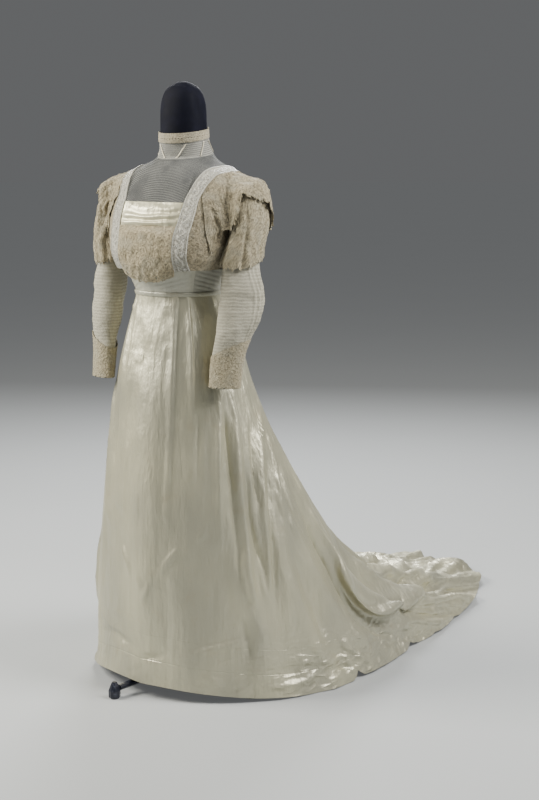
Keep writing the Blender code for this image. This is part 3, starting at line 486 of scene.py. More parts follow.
class Field:
    """A value that changes over a surface. Arithmetic on it adds Math nodes to its material."""

    def __init__(self, graph: "Graph", socket: bpy.types.NodeSocket) -> None:
        """Wraps the output of a node of that material."""
        self.graph, self.socket = graph, socket

    def maths(self, operation: str, *others: Value, first: "Value | None" = None) -> "Field":
        """The result of a Math node, whose first input is this value or another."""
        inputs = dict(enumerate([self if first is None else first, *others]))
        return self.graph.add("ShaderNodeMath", {"operation": operation}, inputs)

    def __add__(self, other: Value) -> "Field":
        """self + other"""
        return self.maths("ADD", other)

    __radd__ = __add__

    def __mul__(self, other: Value) -> "Field":
        """self * other"""
        return self.maths("MULTIPLY", other)

    __rmul__ = __mul__

    def __sub__(self, other: Value) -> "Field":
        """self - other"""
        return self.maths("SUBTRACT", other)

    def __rsub__(self, other: float) -> "Field":
        """other - self"""
        return self.maths("SUBTRACT", self, first=other)

    def __abs__(self) -> "Field":
        """Distance from 0."""
        return self.maths("ABSOLUTE")

    def fraction(self) -> "Field":
        """What is left over the whole number below."""
        return self.maths("FRACT")

    def larger(self, other: Value) -> "Field":
        """The larger of the two."""
        return self.maths("MAXIMUM", other)

    def rise(self, low: float, high: float) -> "Field":
        """Smooth step from 0 at low to 1 at high."""
        return self.graph.add("ShaderNodeMapRange", {"interpolation_type": "SMOOTHSTEP"},
                              {"Value": self, "From Min": low, "From Max": high})


class Graph:
    """A material and its nodes, around one Principled shader."""

    def __init__(self, name: str) -> None:
        """Makes an empty material.

        Args:
            name: Its name.
        """
        self.material = bpy.data.materials.new(name)
        self.material.use_nodes = True
        self.tree = self.material.node_tree
        self.shader = self.tree.nodes["Principled BSDF"]
        self.place = self.tree.nodes.new("ShaderNodeTexCoord")

    def add(self, kind: str, settings: dict | None = None, sockets: dict | None = None,
            output: int | str = 0) -> Field:
        """Adds any node.

        Args:
            kind: The node's type.
            settings: Its properties, set first.
            sockets: Values or links of its inputs, by name or number.
            output: Which output is wanted.

        Returns:
            That output.
        """
        node = self.tree.nodes.new(kind)
        for key, value in (settings or {}).items():
            setattr(node, key, value)
        for key, value in (sockets or {}).items():
            self.connect(node.inputs[key], value)
        return Field(self, node.outputs[output])

    def connect(self, socket: bpy.types.NodeSocket, value: Input) -> None:
        """Links a value to an input, or writes a constant on it.

        Args:
            socket: The input.
            value: What it gets.
        """
        if isinstance(value, Field):
            self.tree.links.new(value.socket, socket)
        else:
            socket.default_value = value

    def spot(self) -> Field:
        """The point's own place in metres."""
        return Field(self, self.place.outputs["Object"])

    def flat(self) -> Field:
        """The cloth's flat coordinates in metres."""
        return Field(self, self.place.outputs["UV"])

    def mark(self, name: str) -> Field:
        """A number that the piece carries on its points."""
        return self.add("ShaderNodeAttribute", {"attribute_name": name}, output="Fac")

    def noise(self, where: Field, size: float, detail: float = 2.0,
              stretch: Sequence[float] = (1, 1, 1)) -> Field:
        """Noise from 0 to 1 in patches of a size in metres, with finer octaves; stretch makes axes finer."""
        scaled = self.add("ShaderNodeMapping", {}, {"Vector": where, "Scale": [s / size for s in stretch]})
        return self.add("ShaderNodeTexNoise", {}, {"Vector": scaled, "Scale": 1.0, "Detail": detail})

    def mesh_holes(self, where: Field, size: float) -> Field:
        """Distance from the threads of a net, from 0 on a thread to about 0.5 in a hole."""
        return self.add("ShaderNodeTexVoronoi", {"feature": "DISTANCE_TO_EDGE", "voronoi_dimensions": "2D"},
                        {"Vector": where, "Scale": 1 / size, "Randomness": 0.35})

    def mixed(self, share: Field, first: Input, second: Input) -> Field:
        """A colour between two others: a share of 0 gives the first and 1 the second."""
        first, second = (c if isinstance(c, Field) else (*c, 1.0) for c in (first, second))
        return self.add("ShaderNodeMix", {"data_type": "RGBA"}, {0: share, 6: first, 7: second}, output=2)

    def bumped(self, height: Field, distance: float, under: Field | None = None) -> Field:
        """A normal bent by a height from 0 to 1, whose full rise is in metres, over a coarser normal."""
        coarse = {} if under is None else {"Normal": under}
        inputs = {"Height": height, "Distance": distance, "Strength": 1.0, **coarse}
        return self.add("ShaderNodeBump", {}, inputs)

    def dress(self, **sockets: Input) -> bpy.types.Material:
        """Sets the shader's inputs, named with _ for a space, and gives the material."""
        for key, value in sockets.items():
            self.connect(self.shader.inputs[key.replace("_", " ")], value)
        return self.material


# Finishes


@dataclass(frozen=True)
class Satin:
    """Ivory silk satin: soft gloss, faint clouds of tone, thread slubs, hem stitches and pressed seams.

    Attributes:
        tone: Its colour.
        shade: Its darker clouds, and the painted shade along the hem's stitch lines.
        age: Its faint stains.
        rough: Roughness of its gloss.
        metal: How much of its light is mirrored by the floating threads.
        slub: Width of the threads.
        hem_stitch: Where the hem is sewn, in millimetres above the edge.
        tuck_stitch: Where the fainter line above it runs.
    """

    tone: Colour = (0.525, 0.50, 0.36)
    shade: Colour = (0.41, 0.395, 0.30)
    age: Colour = (0.41, 0.345, 0.225)
    rough: float = 0.44
    metal: float = 0.6
    slub: float = 0.35 * MM
    hem_stitch: float = 62.0
    tuck_stitch: float = 128.0

    def material(self, name: str, lined: bool = False) -> bpy.types.Material:
        """The material.

        Args:
            name: Its name.
            lined: True for a gore that carries the marks seam, hem and crush.

        Returns:
            The new material.
        """
        graph = Graph(name)
        spot = graph.spot()
        clouds = graph.noise(spot, 0.13, 3.0, (1.0, 1.0, 0.5))
        stains = graph.noise(spot, 0.05, 4.0).rise(0.58, 0.85)
        colour = graph.mixed(clouds.rise(0.3, 0.7), self.tone, self.shade)
        colour = graph.mixed(stains * 0.4, colour, self.age)
        threads = graph.noise(graph.flat(), self.slub, 2.0, (1.0, 0.06, 1.0))
        soft = graph.noise(spot, 0.034, 4.0, (1.0, 1.0, 0.12))
        broad = graph.noise(spot, 0.10, 6.0, (1.0, 1.0, 0.45))
        normal = graph.bumped(soft, 6.5 * MM)
        normal = graph.bumped(broad, 15.0 * MM, normal)
        rough = self.rough + (graph.noise(spot, 0.09, 2.0) - 0.5) * 0.12
        if lined:
            hem, seam, crush = graph.mark("hem"), graph.mark("seam"), graph.mark("crush")
            ridges = 1 - abs(graph.noise(spot, 0.040, 1.5, (0.7, 0.7, 1.5)) - 0.5) * 4
            normal = graph.bumped(ridges * crush, 3.8 * MM, normal)
            stitch = 1 - abs(hem - self.hem_stitch).rise(0.4, 2.2)
            stitch = stitch.larger((1 - abs(hem - self.tuck_stitch).rise(0.3, 1.8)) * 0.5)
            groove = 1 - seam.rise(0.3, 1.6)
            normal = graph.bumped(1 - stitch.larger(groove * 0.3), 0.5 * MM, normal)
            # The stitch lines are painted darker along their grooves: painted shade.
            colour = graph.mixed(stitch * 0.22, colour, self.shade)
        normal = graph.bumped(threads, 0.03 * MM, normal)
        return graph.dress(Base_Color=colour, Roughness=rough, Metallic=self.metal, Normal=normal,
                           Specular_IOR_Level=0.8)


@dataclass(frozen=True)
class Net:
    """Fine cotton net, sewn in tucks: two layers close over each other in a tuck, one open layer between.

    Attributes:
        tone: Colour of the tucks.
        shade: Colour between them.
        ground: How much of it is thread between the tucks.
        tuck: And in a tuck.
        width: A tuck's share of the pitch.
        wander: How unevenly the tucks run.
        crushed: Height of its small crumples, which are also painted lighter on top as painted light.
        hole: Size of its mesh.
    """

    tone: Colour = (0.468, 0.456, 0.398)
    shade: Colour = (0.343, 0.343, 0.312)
    ground: float = 0.34
    tuck: float = 0.80
    width: float = 0.36
    wander: float = 0.35
    crushed: float = 0.8 * MM
    hole: float = 1.3 * MM

    def material(self, name: str) -> bpy.types.Material:
        """The material; it reads the mark tuck, which counts the tucks.

        Args:
            name: Its name.

        Returns:
            The new material.
        """
        graph = Graph(name)
        spot, flat = graph.spot(), graph.flat()
        crumples_and_painted_shade = graph.noise(spot, 0.012, 3.0)
        place = (graph.mark("tuck") + (crumples_and_painted_shade - 0.5) * self.wander).fraction()
        tuck = 1 - abs(place - 0.5).rise(self.width / 2 - 0.10, self.width / 2 + 0.14)
        tuck = tuck * graph.noise(spot, 0.05, 2.0).rise(0.15, 0.55)
        thread = 1 - graph.mesh_holes(flat, self.hole).rise(0.05, 0.22)
        wear = graph.noise(spot, 0.04, 3.0)
        cover = self.ground + (thread - 0.35) * 0.30 + tuck * (self.tuck - self.ground) + (wear - 0.5) * 0.18
        # The crumples' noise also lightens the colour on their tops and darkens it in their hollows: painted
        # light and shade.
        colour = graph.mixed(tuck * 0.45 + (wear - 0.5) * 0.8 + crumples_and_painted_shade * 0.4, self.shade, self.tone)
        normal = graph.bumped(crumples_and_painted_shade, self.crushed)
        normal = graph.bumped(tuck, 0.25 * MM, normal)
        normal = graph.bumped(thread, 0.12 * MM, normal)
        return graph.dress(Base_Color=colour, Roughness=0.82, Alpha=cover, Normal=normal, Sheen_Weight=0.15)


@dataclass(frozen=True)
class Lace:
    """Needle-run lace: close flowers and leaves with a raised cord round them, on an open net ground.

    Attributes:
        tone: Colour of the flowers.
        ground_tone: Colour of the net.
        grey: Colour of its worn places.
        ground: How much of the net is thread.
        hole: Size of its mesh.
    """

    tone: Colour = (0.45, 0.39, 0.253)
    ground_tone: Colour = (0.185, 0.155, 0.098)
    grey: Colour = (0.338, 0.312, 0.231)
    ground: float = 0.70
    hole: float = 1.5 * MM

    def material(self, name: str) -> bpy.types.Material:
        """The material; it reads the mark motif, millimetres inside the flowers' outline.

        Args:
            name: Its name.

        Returns:
            The new material.
        """
        graph = Graph(name)
        motif = graph.mark("motif")
        inside = motif.rise(-0.7, 0.5)
        cord = 1 - abs(motif - 0.35).rise(0.15, 0.75)
        spot, flat = graph.spot(), graph.flat()
        thread = 1 - graph.mesh_holes(flat, self.hole).rise(0.06, 0.26)
        stitches = graph.noise(flat, 1.6 * MM, 2.0, (1.0, 0.6, 1.0))
        knots = graph.noise(flat, 4.5 * MM, 3.0)
        wear = graph.noise(spot, 0.030, 4.0)
        cover = (self.ground + (thread - 0.4) * 0.4 + (knots - 0.5) * 0.5).larger(inside * 0.96)
        light = inside * 0.22 + cord * 0.12 + stitches.rise(0.3, 0.7) * 0.36 + knots.rise(0.38, 0.62) * 0.42
        colour = graph.mixed(light, self.ground_tone, self.tone)
        colour = graph.mixed(wear.rise(0.42, 0.72) * 0.6, colour, self.grey)
        normal = graph.bumped(knots, 2.6 * MM)
        normal = graph.bumped(inside * 0.6 + cord, 0.6 * MM, normal)
        normal = graph.bumped(stitches, 0.5 * MM, normal)
        return graph.dress(Base_Color=colour, Roughness=0.88, Alpha=cover, Normal=normal, Sheen_Weight=0.15)


@dataclass(frozen=True)
class Braid:
    """Silver-white silk embroidery on a close ground, with a soft gloss on its raised stems and leaves."""

    tone: Colour = (0.61, 0.59, 0.50)
    ground: Colour = (0.20, 0.19, 0.155)

    def material(self, name: str) -> bpy.types.Material:
        """The material; it reads the mark motif, from 0 on the ground to 1 on the embroidery.

        Args:
            name: Its name.

        Returns:
            The new material.
        """
        graph = Graph(name)
        motif = graph.mark("motif").rise(0.15, 0.75)
        stitches = graph.noise(graph.flat(), 0.7 * MM, 1.0, (0.25, 1.0, 1.0))
        knots = graph.noise(graph.flat(), 3.2 * MM, 3.0).rise(0.38, 0.62)
        colour = graph.mixed(motif * 0.32 + knots * 0.6, self.ground, self.tone)
        normal = graph.bumped(motif + knots * 0.8, 0.8 * MM)
        normal = graph.bumped(stitches, 0.3 * MM, normal)
        rough = 0.62 - motif * 0.2
        return graph.dress(Base_Color=colour, Roughness=rough, Normal=normal, Sheen_Weight=0.15)


@dataclass(frozen=True)
class Bead:
    """Small pearly glass beads."""

    tone: Colour = (0.624, 0.616, 0.569)
    shade: Colour = (0.429, 0.429, 0.413)

    def material(self, name: str) -> bpy.types.Material:
        """The material: each bead a little lighter or darker than the next.

        Args:
            name: Its name.

        Returns:
            The new material.
        """
        graph = Graph(name)
        kind = graph.noise(graph.spot(), 3.0 * MM, 0.0)
        colour = graph.mixed(kind.rise(0.35, 0.65), self.shade, self.tone)
        return graph.dress(Base_Color=colour, Roughness=0.22 + kind * 0.15, Coat_Weight=0.5)


@dataclass(frozen=True)
class Jersey:
    """Near-black cotton jersey stretched over padding: fine ribs of knit and a dull nap."""

    tone: Colour = (0.002, 0.0025, 0.007)
    nap: Colour = (0.006, 0.0065, 0.014)
    wale: float = 1.1 * MM

    def material(self, name: str) -> bpy.types.Material:
        """The material.

        Args:
            name: Its name.

        Returns:
            The new material.
        """
        graph = Graph(name)
        spot, flat = graph.spot(), graph.flat()
        dust = graph.noise(spot, 0.03, 4.0)
        colour = graph.mixed(dust.rise(0.4, 0.8), self.tone, self.nap)
        knit = graph.mesh_holes(flat, self.wale)
        normal = graph.bumped(graph.noise(spot, 0.045, 2.0), 1.4 * MM)
        normal = graph.bumped(knit, 0.2 * MM, normal)
        return graph.dress(Base_Color=colour, Roughness=0.70 + dust * 0.2, Normal=normal,
                           Specular_IOR_Level=0.12)


@dataclass(frozen=True)
class Iron:
    """Black japanned cast iron, worn a little in patches and speckled from the casting."""

    tone: Colour = (0.012, 0.014, 0.026)
    worn: Colour = (0.075, 0.085, 0.12)

    def material(self, name: str) -> bpy.types.Material:
        """The material.

        Args:
            name: Its name.

        Returns:
            The new material.
        """
        graph = Graph(name)
        spot = graph.spot()
        rub = graph.noise(spot, 0.010, 5.0)
        colour = graph.mixed(rub.rise(0.52, 0.75), self.tone, self.worn)
        normal = graph.bumped(graph.noise(spot, 2.5 * MM, 3.0), 0.25 * MM)
        return graph.dress(Base_Color=colour, Roughness=0.28 + rub * 0.25, Metallic=0.35, Normal=normal,
                           Coat_Weight=0.3)


@dataclass(frozen=True)
class PaleFloor:
    """A plain pale matt floor."""

    tone: Colour = (0.335, 0.345, 0.345)
    shade: Colour = (0.32, 0.33, 0.33)
    glow: float = 0.665  # times the world's light, so that the far floor is as light as the world

    def material(self, name: str) -> bpy.types.Material:
        """The material.

        Args:
            name: Its name.

        Returns:
            The new material.
        """
        graph = Graph(name)
        colour = graph.mixed(graph.noise(graph.spot(), 0.6, 3.0), self.tone, self.shade)
        return graph.dress(Base_Color=colour, Roughness=0.95, Specular_IOR_Level=0.0,
                           Emission_Color=(*WORLD_TONE, 1.0), Emission_Strength=WORLD_LIGHT * self.glow)


# The padded form and the lines of the bodice on it


@dataclass(frozen=True)
class BodySurface:
    """The surface that the form and its cloth are worked from: rounded level sections.

    Attributes:
        sections: Height, half width, front, back and roundness of the outline.
    """

    sections: tuple[tuple[float, ...], ...] = (
        (0.780, 0.164, -0.131, 0.148, 2.1),
        (0.840, 0.152, -0.126, 0.141, 2.1),
        (0.900, 0.134, -0.119, 0.125, 2.1),
        (0.950, 0.117, -0.112, 0.103, 2.1),
        (0.995, 0.103, -0.107, 0.085, 2.1),
        (1.030, 0.112, -0.117, 0.090, 2.2),
        (1.065, 0.131, -0.134, 0.100, 2.3),
        (1.100, 0.147, -0.147, 0.110, 2.4),
        (1.140, 0.158, -0.149, 0.118, 2.5),
        (1.180, 0.165, -0.136, 0.123, 2.6),
        (1.215, 0.168, -0.118, 0.124, 2.6),
        (1.245, 0.167, -0.101, 0.122, 2.5),
        (1.268, 0.160, -0.088, 0.118, 2.4),
        (1.285, 0.145, -0.076, 0.113, 2.3),
        (1.298, 0.122, -0.065, 0.108, 2.2),
        (1.308, 0.100, -0.056, 0.104, 2.1),
        (1.318, 0.081, -0.046, 0.100, 2.0),
        (1.330, 0.068, -0.037, 0.096, 2.0),
        (1.350, 0.062, -0.037, 0.086, 2.0),
        (1.375, 0.0595, -0.040, 0.078, 2.0),
        (1.400, 0.0585, -0.040, 0.076, 2.0),
        (1.435, 0.0575, -0.038, 0.073, 2.1),
        (1.462, 0.0540, -0.034, 0.069, 2.2),
        (1.483, 0.0470, -0.027, 0.062, 2.2),
        (1.498, 0.0350, -0.015, 0.050, 2.1),
        (1.506, 0.0200, 0.000, 0.036, 2.0),
    )

    def section(self, z: Array) -> tuple[Array, Array, Array, Array]:
        """The level section at a height.

        Args:
            z: Heights.

        Returns:
            Half widths, centres, half depths and roundnesses.
        """
        heights = column(self.sections, 0)
        half_width, front, back, roundness = (smooth_curve(heights, column(self.sections, k), z)
                                              for k in range(1, 5))
        return half_width, (front + back) / 2, (back - front) / 2, roundness

    def point(self, angle: Array, z: Array) -> Array:
        """Points of the surface: x = a sin^(2/n), y = centre - b cos^(2/n) of the angle.

        Args:
            angle: Angles round the body.
            z: Heights.

        Returns:
            The points.
        """
        angle, z = np.broadcast_arrays(np.radians(angle), np.asarray(z, float))
        half_width, centre, half_depth, roundness = self.section(z)
        x = half_width * power(np.sin(angle), 2 / roundness)
        y = centre - half_depth * power(np.cos(angle), 2 / roundness)
        return xyz(x, y, z)

    def frame(self, angle: Array, z: Array) -> tuple[Array, Array]:
        """Points of the surface and its outward unit normals, from small steps in angle and height.

        Args:
            angle: Angles round the body.
            z: Heights.

        Returns:
            The points and the normals.
        """
        turn, rise = 0.4, 0.4 * MM
        across = self.point(np.add(angle, turn), z) - self.point(np.subtract(angle, turn), z)
        along = self.point(angle, np.add(z, rise)) - self.point(angle, np.subtract(z, rise))
        return self.point(angle, z), unit(np.cross(across, along))

    def angle_of_x(self, x: Array, z: Array) -> Array:
        """Angle at which the front is x from the centre."""
        half_width, _, _, roundness = self.section(z)
        return np.degrees(np.arcsin(np.clip(x / half_width, 0, 1) ** (roundness / 2)))

    def angle_of_y(self, y: Array, z: Array) -> Array:
        """Angle at which the left side has that y."""
        _, centre, half_depth, roundness = self.section(z)
        return np.degrees(np.arccos(power(np.clip((centre - y) / half_depth, -1, 1), roundness / 2)))

    def wall(self, angle: Array, z: Array, low: Array | float, thick: Array | float, **extra: object) -> Wall:
        """Cloth on the form.

        Args:
            angle: Angles of its points.
            z: Their heights.
            low: Height of its inner face off the surface.
            thick: Its thickness.
            extra: Further fields of the wall.

        Returns:
            The cloth.
        """
        spots, outward = self.frame(angle, z)
        low = np.broadcast_to(low, spots.shape[:2])[..., None]
        thick = np.broadcast_to(thick, spots.shape[:2])[..., None]
        return Wall(spots + outward * low, spots + outward * (low + thick), **extra)


BODY = BodySurface()
WAIST = 0.998
LACE_TOP = 1.165
NECKLINE = 1.220
STRAP_END = 1.066
MIDRIFF_TOP = 1.072
STRAP_INNER = ((0.070, STRAP_END), (0.073, 1.100), (0.077, 1.140), (0.084, 1.180), (0.087, NECKLINE),
               (0.094, 1.258), (0.101, 1.286), (0.107, 1.299), (0.110, 1.3036))
STRAP_OUTER = ((0.098, STRAP_END), (0.102, 1.100), (0.110, 1.140), (0.117, 1.180), (0.118, NECKLINE),
               (0.122, 1.248), (0.128, 1.268), (0.132, 1.283), (0.1345, 1.2905))


def strap_edge(table: Sequence[tuple[float, float]], along: Array) -> tuple[Array, Array]:
    """Angle and height of a strap's edge.

    Args:
        table: The edge's distance from the centre and height, from the front end up to the shoulder.
        along: Place along the strap, from -1 at the front end to 1 at the back end.

    Returns:
        Angles and heights.
    """
    rows = np.arange(len(table)) / (len(table) - 1)
    heights = column(table, 1)
    angles = BODY.angle_of_x(column(table, 0), heights)
    angles[-1] = 90.0
    t = 1 - np.abs(along)
    angle = smooth_curve(rows, angles, t)
    return np.where(along < 0, angle, 180 - angle), smooth_curve(rows, heights, t)


def edge_angle(table: Sequence[tuple[float, float]], z: Array) -> Array:
    """Angle of a strap's front edge at a height."""
    heights = column(table, 1)
    return smooth_curve(heights, BODY.angle_of_x(column(table, 0), heights), z)


def blouse(z: Array, strength: float = 1.0) -> Array:
    """How far the lace bags out over the waist: 13 mm, eased in over 75 mm below its top."""
    return strength * 0.013 * ease((LACE_TOP - z) / 0.075)


def hooked_on(piece: bpy.types.Object, nodes: Sequence[str]) -> None:
    """Fixes a piece to the part's one body, in place of its solids.

    Args:
        piece: The piece.
        nodes: The solids that it stands for.
    """
    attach(piece, "root")
    if nodes:
        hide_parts(*nodes)
    log.info("%s: %d faces", piece.name, len(piece.data.polygons))


def sewn(name: str, wall: Wall, material: bpy.types.Material, slot: Slot, held: Held, *rests_on: str) -> None:
    """One piece of cloth: its mesh, finish, body and flat cut.

    Args:
        name: The node that it stands for, which gives its name too.
        wall: Its shape.
        material: Its finish.
        slot: Its material slot; not used.
        held: How it is held; not used.
        rests_on: The nodes that carry it; not used.
    """
    piece = wall.mesh(f"{name}_cloth")
    piece.data.materials.append(material)
    hooked_on(piece, [name])
    width, length, area = wall.cut()


def sewn_twice(name: str, wall: Wall, material: bpy.types.Material, slot: Slot, held: Held,
               *rests_on: str) -> None:
    """The same piece on both sides of the gown.

    Args:
        name: Its name without the side.
        wall: The left one's shape.
        material: Its finish.
        slot: Its material slot.
        held: How it is held.
        rests_on: The nodes that carry it, with {} for the side.
    """
    for hand, cloth in (("left", wall), ("right", wall.flipped())):
        sewn(f"{name}_{hand}", cloth, material, slot, held, *(node.format(hand) for node in rests_on))


@dataclass
class LacePattern:
    """Flowers of five or six petals in jittered rows, with slender leaves in the gaps between them.

    Attributes:
        pitch: Distance between flowers.
        seed: Seed of their random places, turns and sizes.
        drawn: How far wear has drawn them out of shape.
    """

    pitch: float = 13 * MM
    seed: int = 3
    drawn: float = 2.6 * MM

    def inside(self, u: Array, v: Array) -> Array:
        """Depth inside the nearest flower or leaf, in millimetres, under 0 outside.

        A flower with radius R, n petals and turn p has the outline r = R (0.72 + 0.28 cos(n a + p)).
        A leaf is a lens: half width w (1 - (s / l)^2) at the distance s along its line.

        Args:
            u: Flat coordinate across.
            v: Flat coordinate down.

        Returns:
            The depth at each place.
        """
        side = 64
        table = np.random.default_rng(self.seed).uniform(0, 1, (side, side, 6))
        best = np.full(u.shape, -9.0)
        spots = np.dstack([u, v, 0 * u])
        u = u + self.drawn * soft_noise(spots, 9 * MM, self.seed + 1)
        v = v + self.drawn * soft_noise(spots, 9 * MM, self.seed + 2)
        for shift, leaf in ((0.0, False), (0.5, True)):
            across, down = u / self.pitch - shift, v / self.pitch - shift
            for step in np.ndindex(3, 3):
                i = np.floor(across).astype(int) + step[0] - 1
                j = np.floor(down).astype(int) + step[1] - 1
                r = table[i % side, j % side]
                x = (across - i - 0.5 - 0.35 * (r[..., 0] - 0.5)) * self.pitch
                y = (down - j - 0.5 - 0.35 * (r[..., 1] - 0.5)) * self.pitch
                turn = r[..., 2] * 2 * math.pi
                if leaf:
                    s, w = x * np.cos(turn) + y * np.sin(turn), y * np.cos(turn) - x * np.sin(turn)
                    depth = self.pitch * (0.13 * (1 - (s / (0.42 * self.pitch)) ** 2)) - np.abs(w)
                else:
                    petals = np.where(r[..., 3] > 0.5, 5, 6)
                    size = self.pitch * (0.34 + 0.14 * r[..., 4])
                    depth = size * (0.72 + 0.28 * np.cos(petals * np.arctan2(y, x) + turn)) - np.hypot(x, y)
                best = np.maximum(best, depth / MM)
        return best


def laced(wall: Wall, pattern: LacePattern, relief: float = 0.5 * MM, holes: float = 0.0, edge: float = 0.0,
          seed: int = 1) -> Wall:
    """Lace made from a plain wall: raised flowers, small gaps in the net and a ragged lower edge.

    Args:
        wall: The plain cloth; its last row is the free edge.
        pattern: Its flowers.
        relief: How far the flowers stand up.
        holes: Share of the net's cells that are open gaps.
        edge: Depth of the scallops cut from the last rows.
        seed: Seed of the gaps.

    Returns:
        The lace.
    """
    flat = wall.flat()[:, : wall.outer.shape[1]]
    motif = pattern.inside(flat[..., 0], flat[..., 1])
    facing = unit(wall.outer - wall.inner)
    outer = wall.outer + facing * (relief * ease(motif / 1.2 + 0.4))[..., None]
    keep = wall.cells().copy()
    spans = keep.shape[1]
    middle = motif[:-1, :spans]
    if holes > 0:
        random = soft_noise(np.dstack([flat, flat[..., :1] * 0])[:-1, :spans], 5.5 * MM, seed)
        keep &= ~((random > 1 - holes) & (middle < -1.2))
    if edge > 0:
        below = (flat[-1, :spans, 1] - flat[:-1, :spans, 1])
        scallop = edge * (1 - np.abs(np.sin(flat[:-1, :spans, 0] / (9 * MM) * math.pi / 2)))
        strands = np.dstack([flat[..., :1], flat[..., 1:] * 0.25, flat[..., :1] * 0])[:-1, :spans]
        fray = 0.7 * edge * (1 + soft_noise(strands, 3.5 * MM, seed + 5))
        keep &= below > scallop + fray
    return Wall(wall.inner, outer, wall.closed, keep, {**wall.marks, "motif": motif})


@dataclass
class DressForm:
    """The black padded form with its tall rounded neck, and the cast stand that carries it.

    Attributes:
        base: Height of its lower end.
        crown: Height of the top of its neck.
        inset: How far it lies under the surface that cloth is worked from.
        sides: Points round it.
        rows: Rows up to the neck's edge.
        seams: Angles of its seams.
        seam_width: Half width of their grooves, in degrees.
        seam_depth: Depth of their grooves.
        neck_fold: Depth of a dent in the cover, high on the left of the neck.
        dome: Rings that close the neck, as shares of its width and of the height left.
    """

    base: float = 0.780
    crown: float = 1.510
    inset: float = 1.0 * MM
    sides: int = 96
    rows: int = 80
    seams: tuple[float, ...] = (35.0, 325.0, 90.0, 270.0, 180.0)
    seam_width: float = 1.6
    seam_depth: float = 0.8 * MM
    neck_fold: float = 5.0 * MM
    dome: tuple[tuple[float, float], ...] = ((0.8, 0.5), (0.55, 0.8), (0.28, 0.95))

    def padding(self) -> None:
        """The cover, stretched over the padding, with its seams, and a dome over the neck."""
        turn = np.arange(self.sides) * 360.0 / self.sides
        z = np.linspace(self.base, BODY.sections[-1][0] - 0.5 * MM, self.rows)
        angle, heights = np.meshgrid(turn, z)
        spots, outward = BODY.frame(angle, heights)
        outward[..., 2] = 0
        seam = sum(bell((angle - at + 180) % 360 - 180, self.seam_width) for at in self.seams)
        fold = bell(angle - 74.0, 10.0) * bell(heights - 1.452, 0.030) * self.neck_fold
        rings = spots - outward * (self.inset + self.seam_depth * seam + fold)[..., None]
        middle = rings[-1].mean(axis=0)
        dome = []
        for share, rise in self.dome:
            ring = middle + (rings[-1] - middle) * share
            ring[:, 2] = rings[-1, :, 2] + (self.crown - rings[-1, :, 2]) * rise
            dome.append(ring)
        piece = lofted("form_padding", np.concatenate([rings, np.stack(dome)]))
        piece.data.materials.append(Jersey().material("black_jersey"))
        hooked_on(piece, ["form_torso"])

    def stand(self) -> None:
        """Gives the pole, hub, legs and feet their iron finish."""
        iron = Iron().material("japanned_iron")
        names = ["stand_pole", "stand_hub",
                 *(f"stand_{part}_{k}" for part in ("leg", "foot") for k in range(1, 5))]
        for name in names:
            solid = bpy.data.objects[name]
            solid.data.materials.clear()
            solid.data.materials.append(iron)
            log.info("%s: given its finish", name)

    def build(self) -> None:
        """Builds and dresses every piece."""
        self.padding()
        self.stand()


def neck_seam(angle: Array) -> Array:
    """Height of the seam between collar and yoke: 10 mm lower in front."""
    return 1.331 - 0.010 * np.cos(np.radians(angle))


def collar_top(angle: Array) -> Array:
    """Height of the collar's upper edge."""
    return 1.3905 - 0.0085 * np.cos(np.radians(angle))


SEWN_LINE = 0.12  # how far a tuck's sewn line lies past its fold, in parts of its pitch


def tucked(phase: Array, depth: float) -> Array:
    """Height of a row of tucks: each rises slowly over its pitch and drops at its sewn line."""
    part = phase - np.floor(phase)
    return depth * ease(part / 0.75) * ease((1 - part) / 0.25)


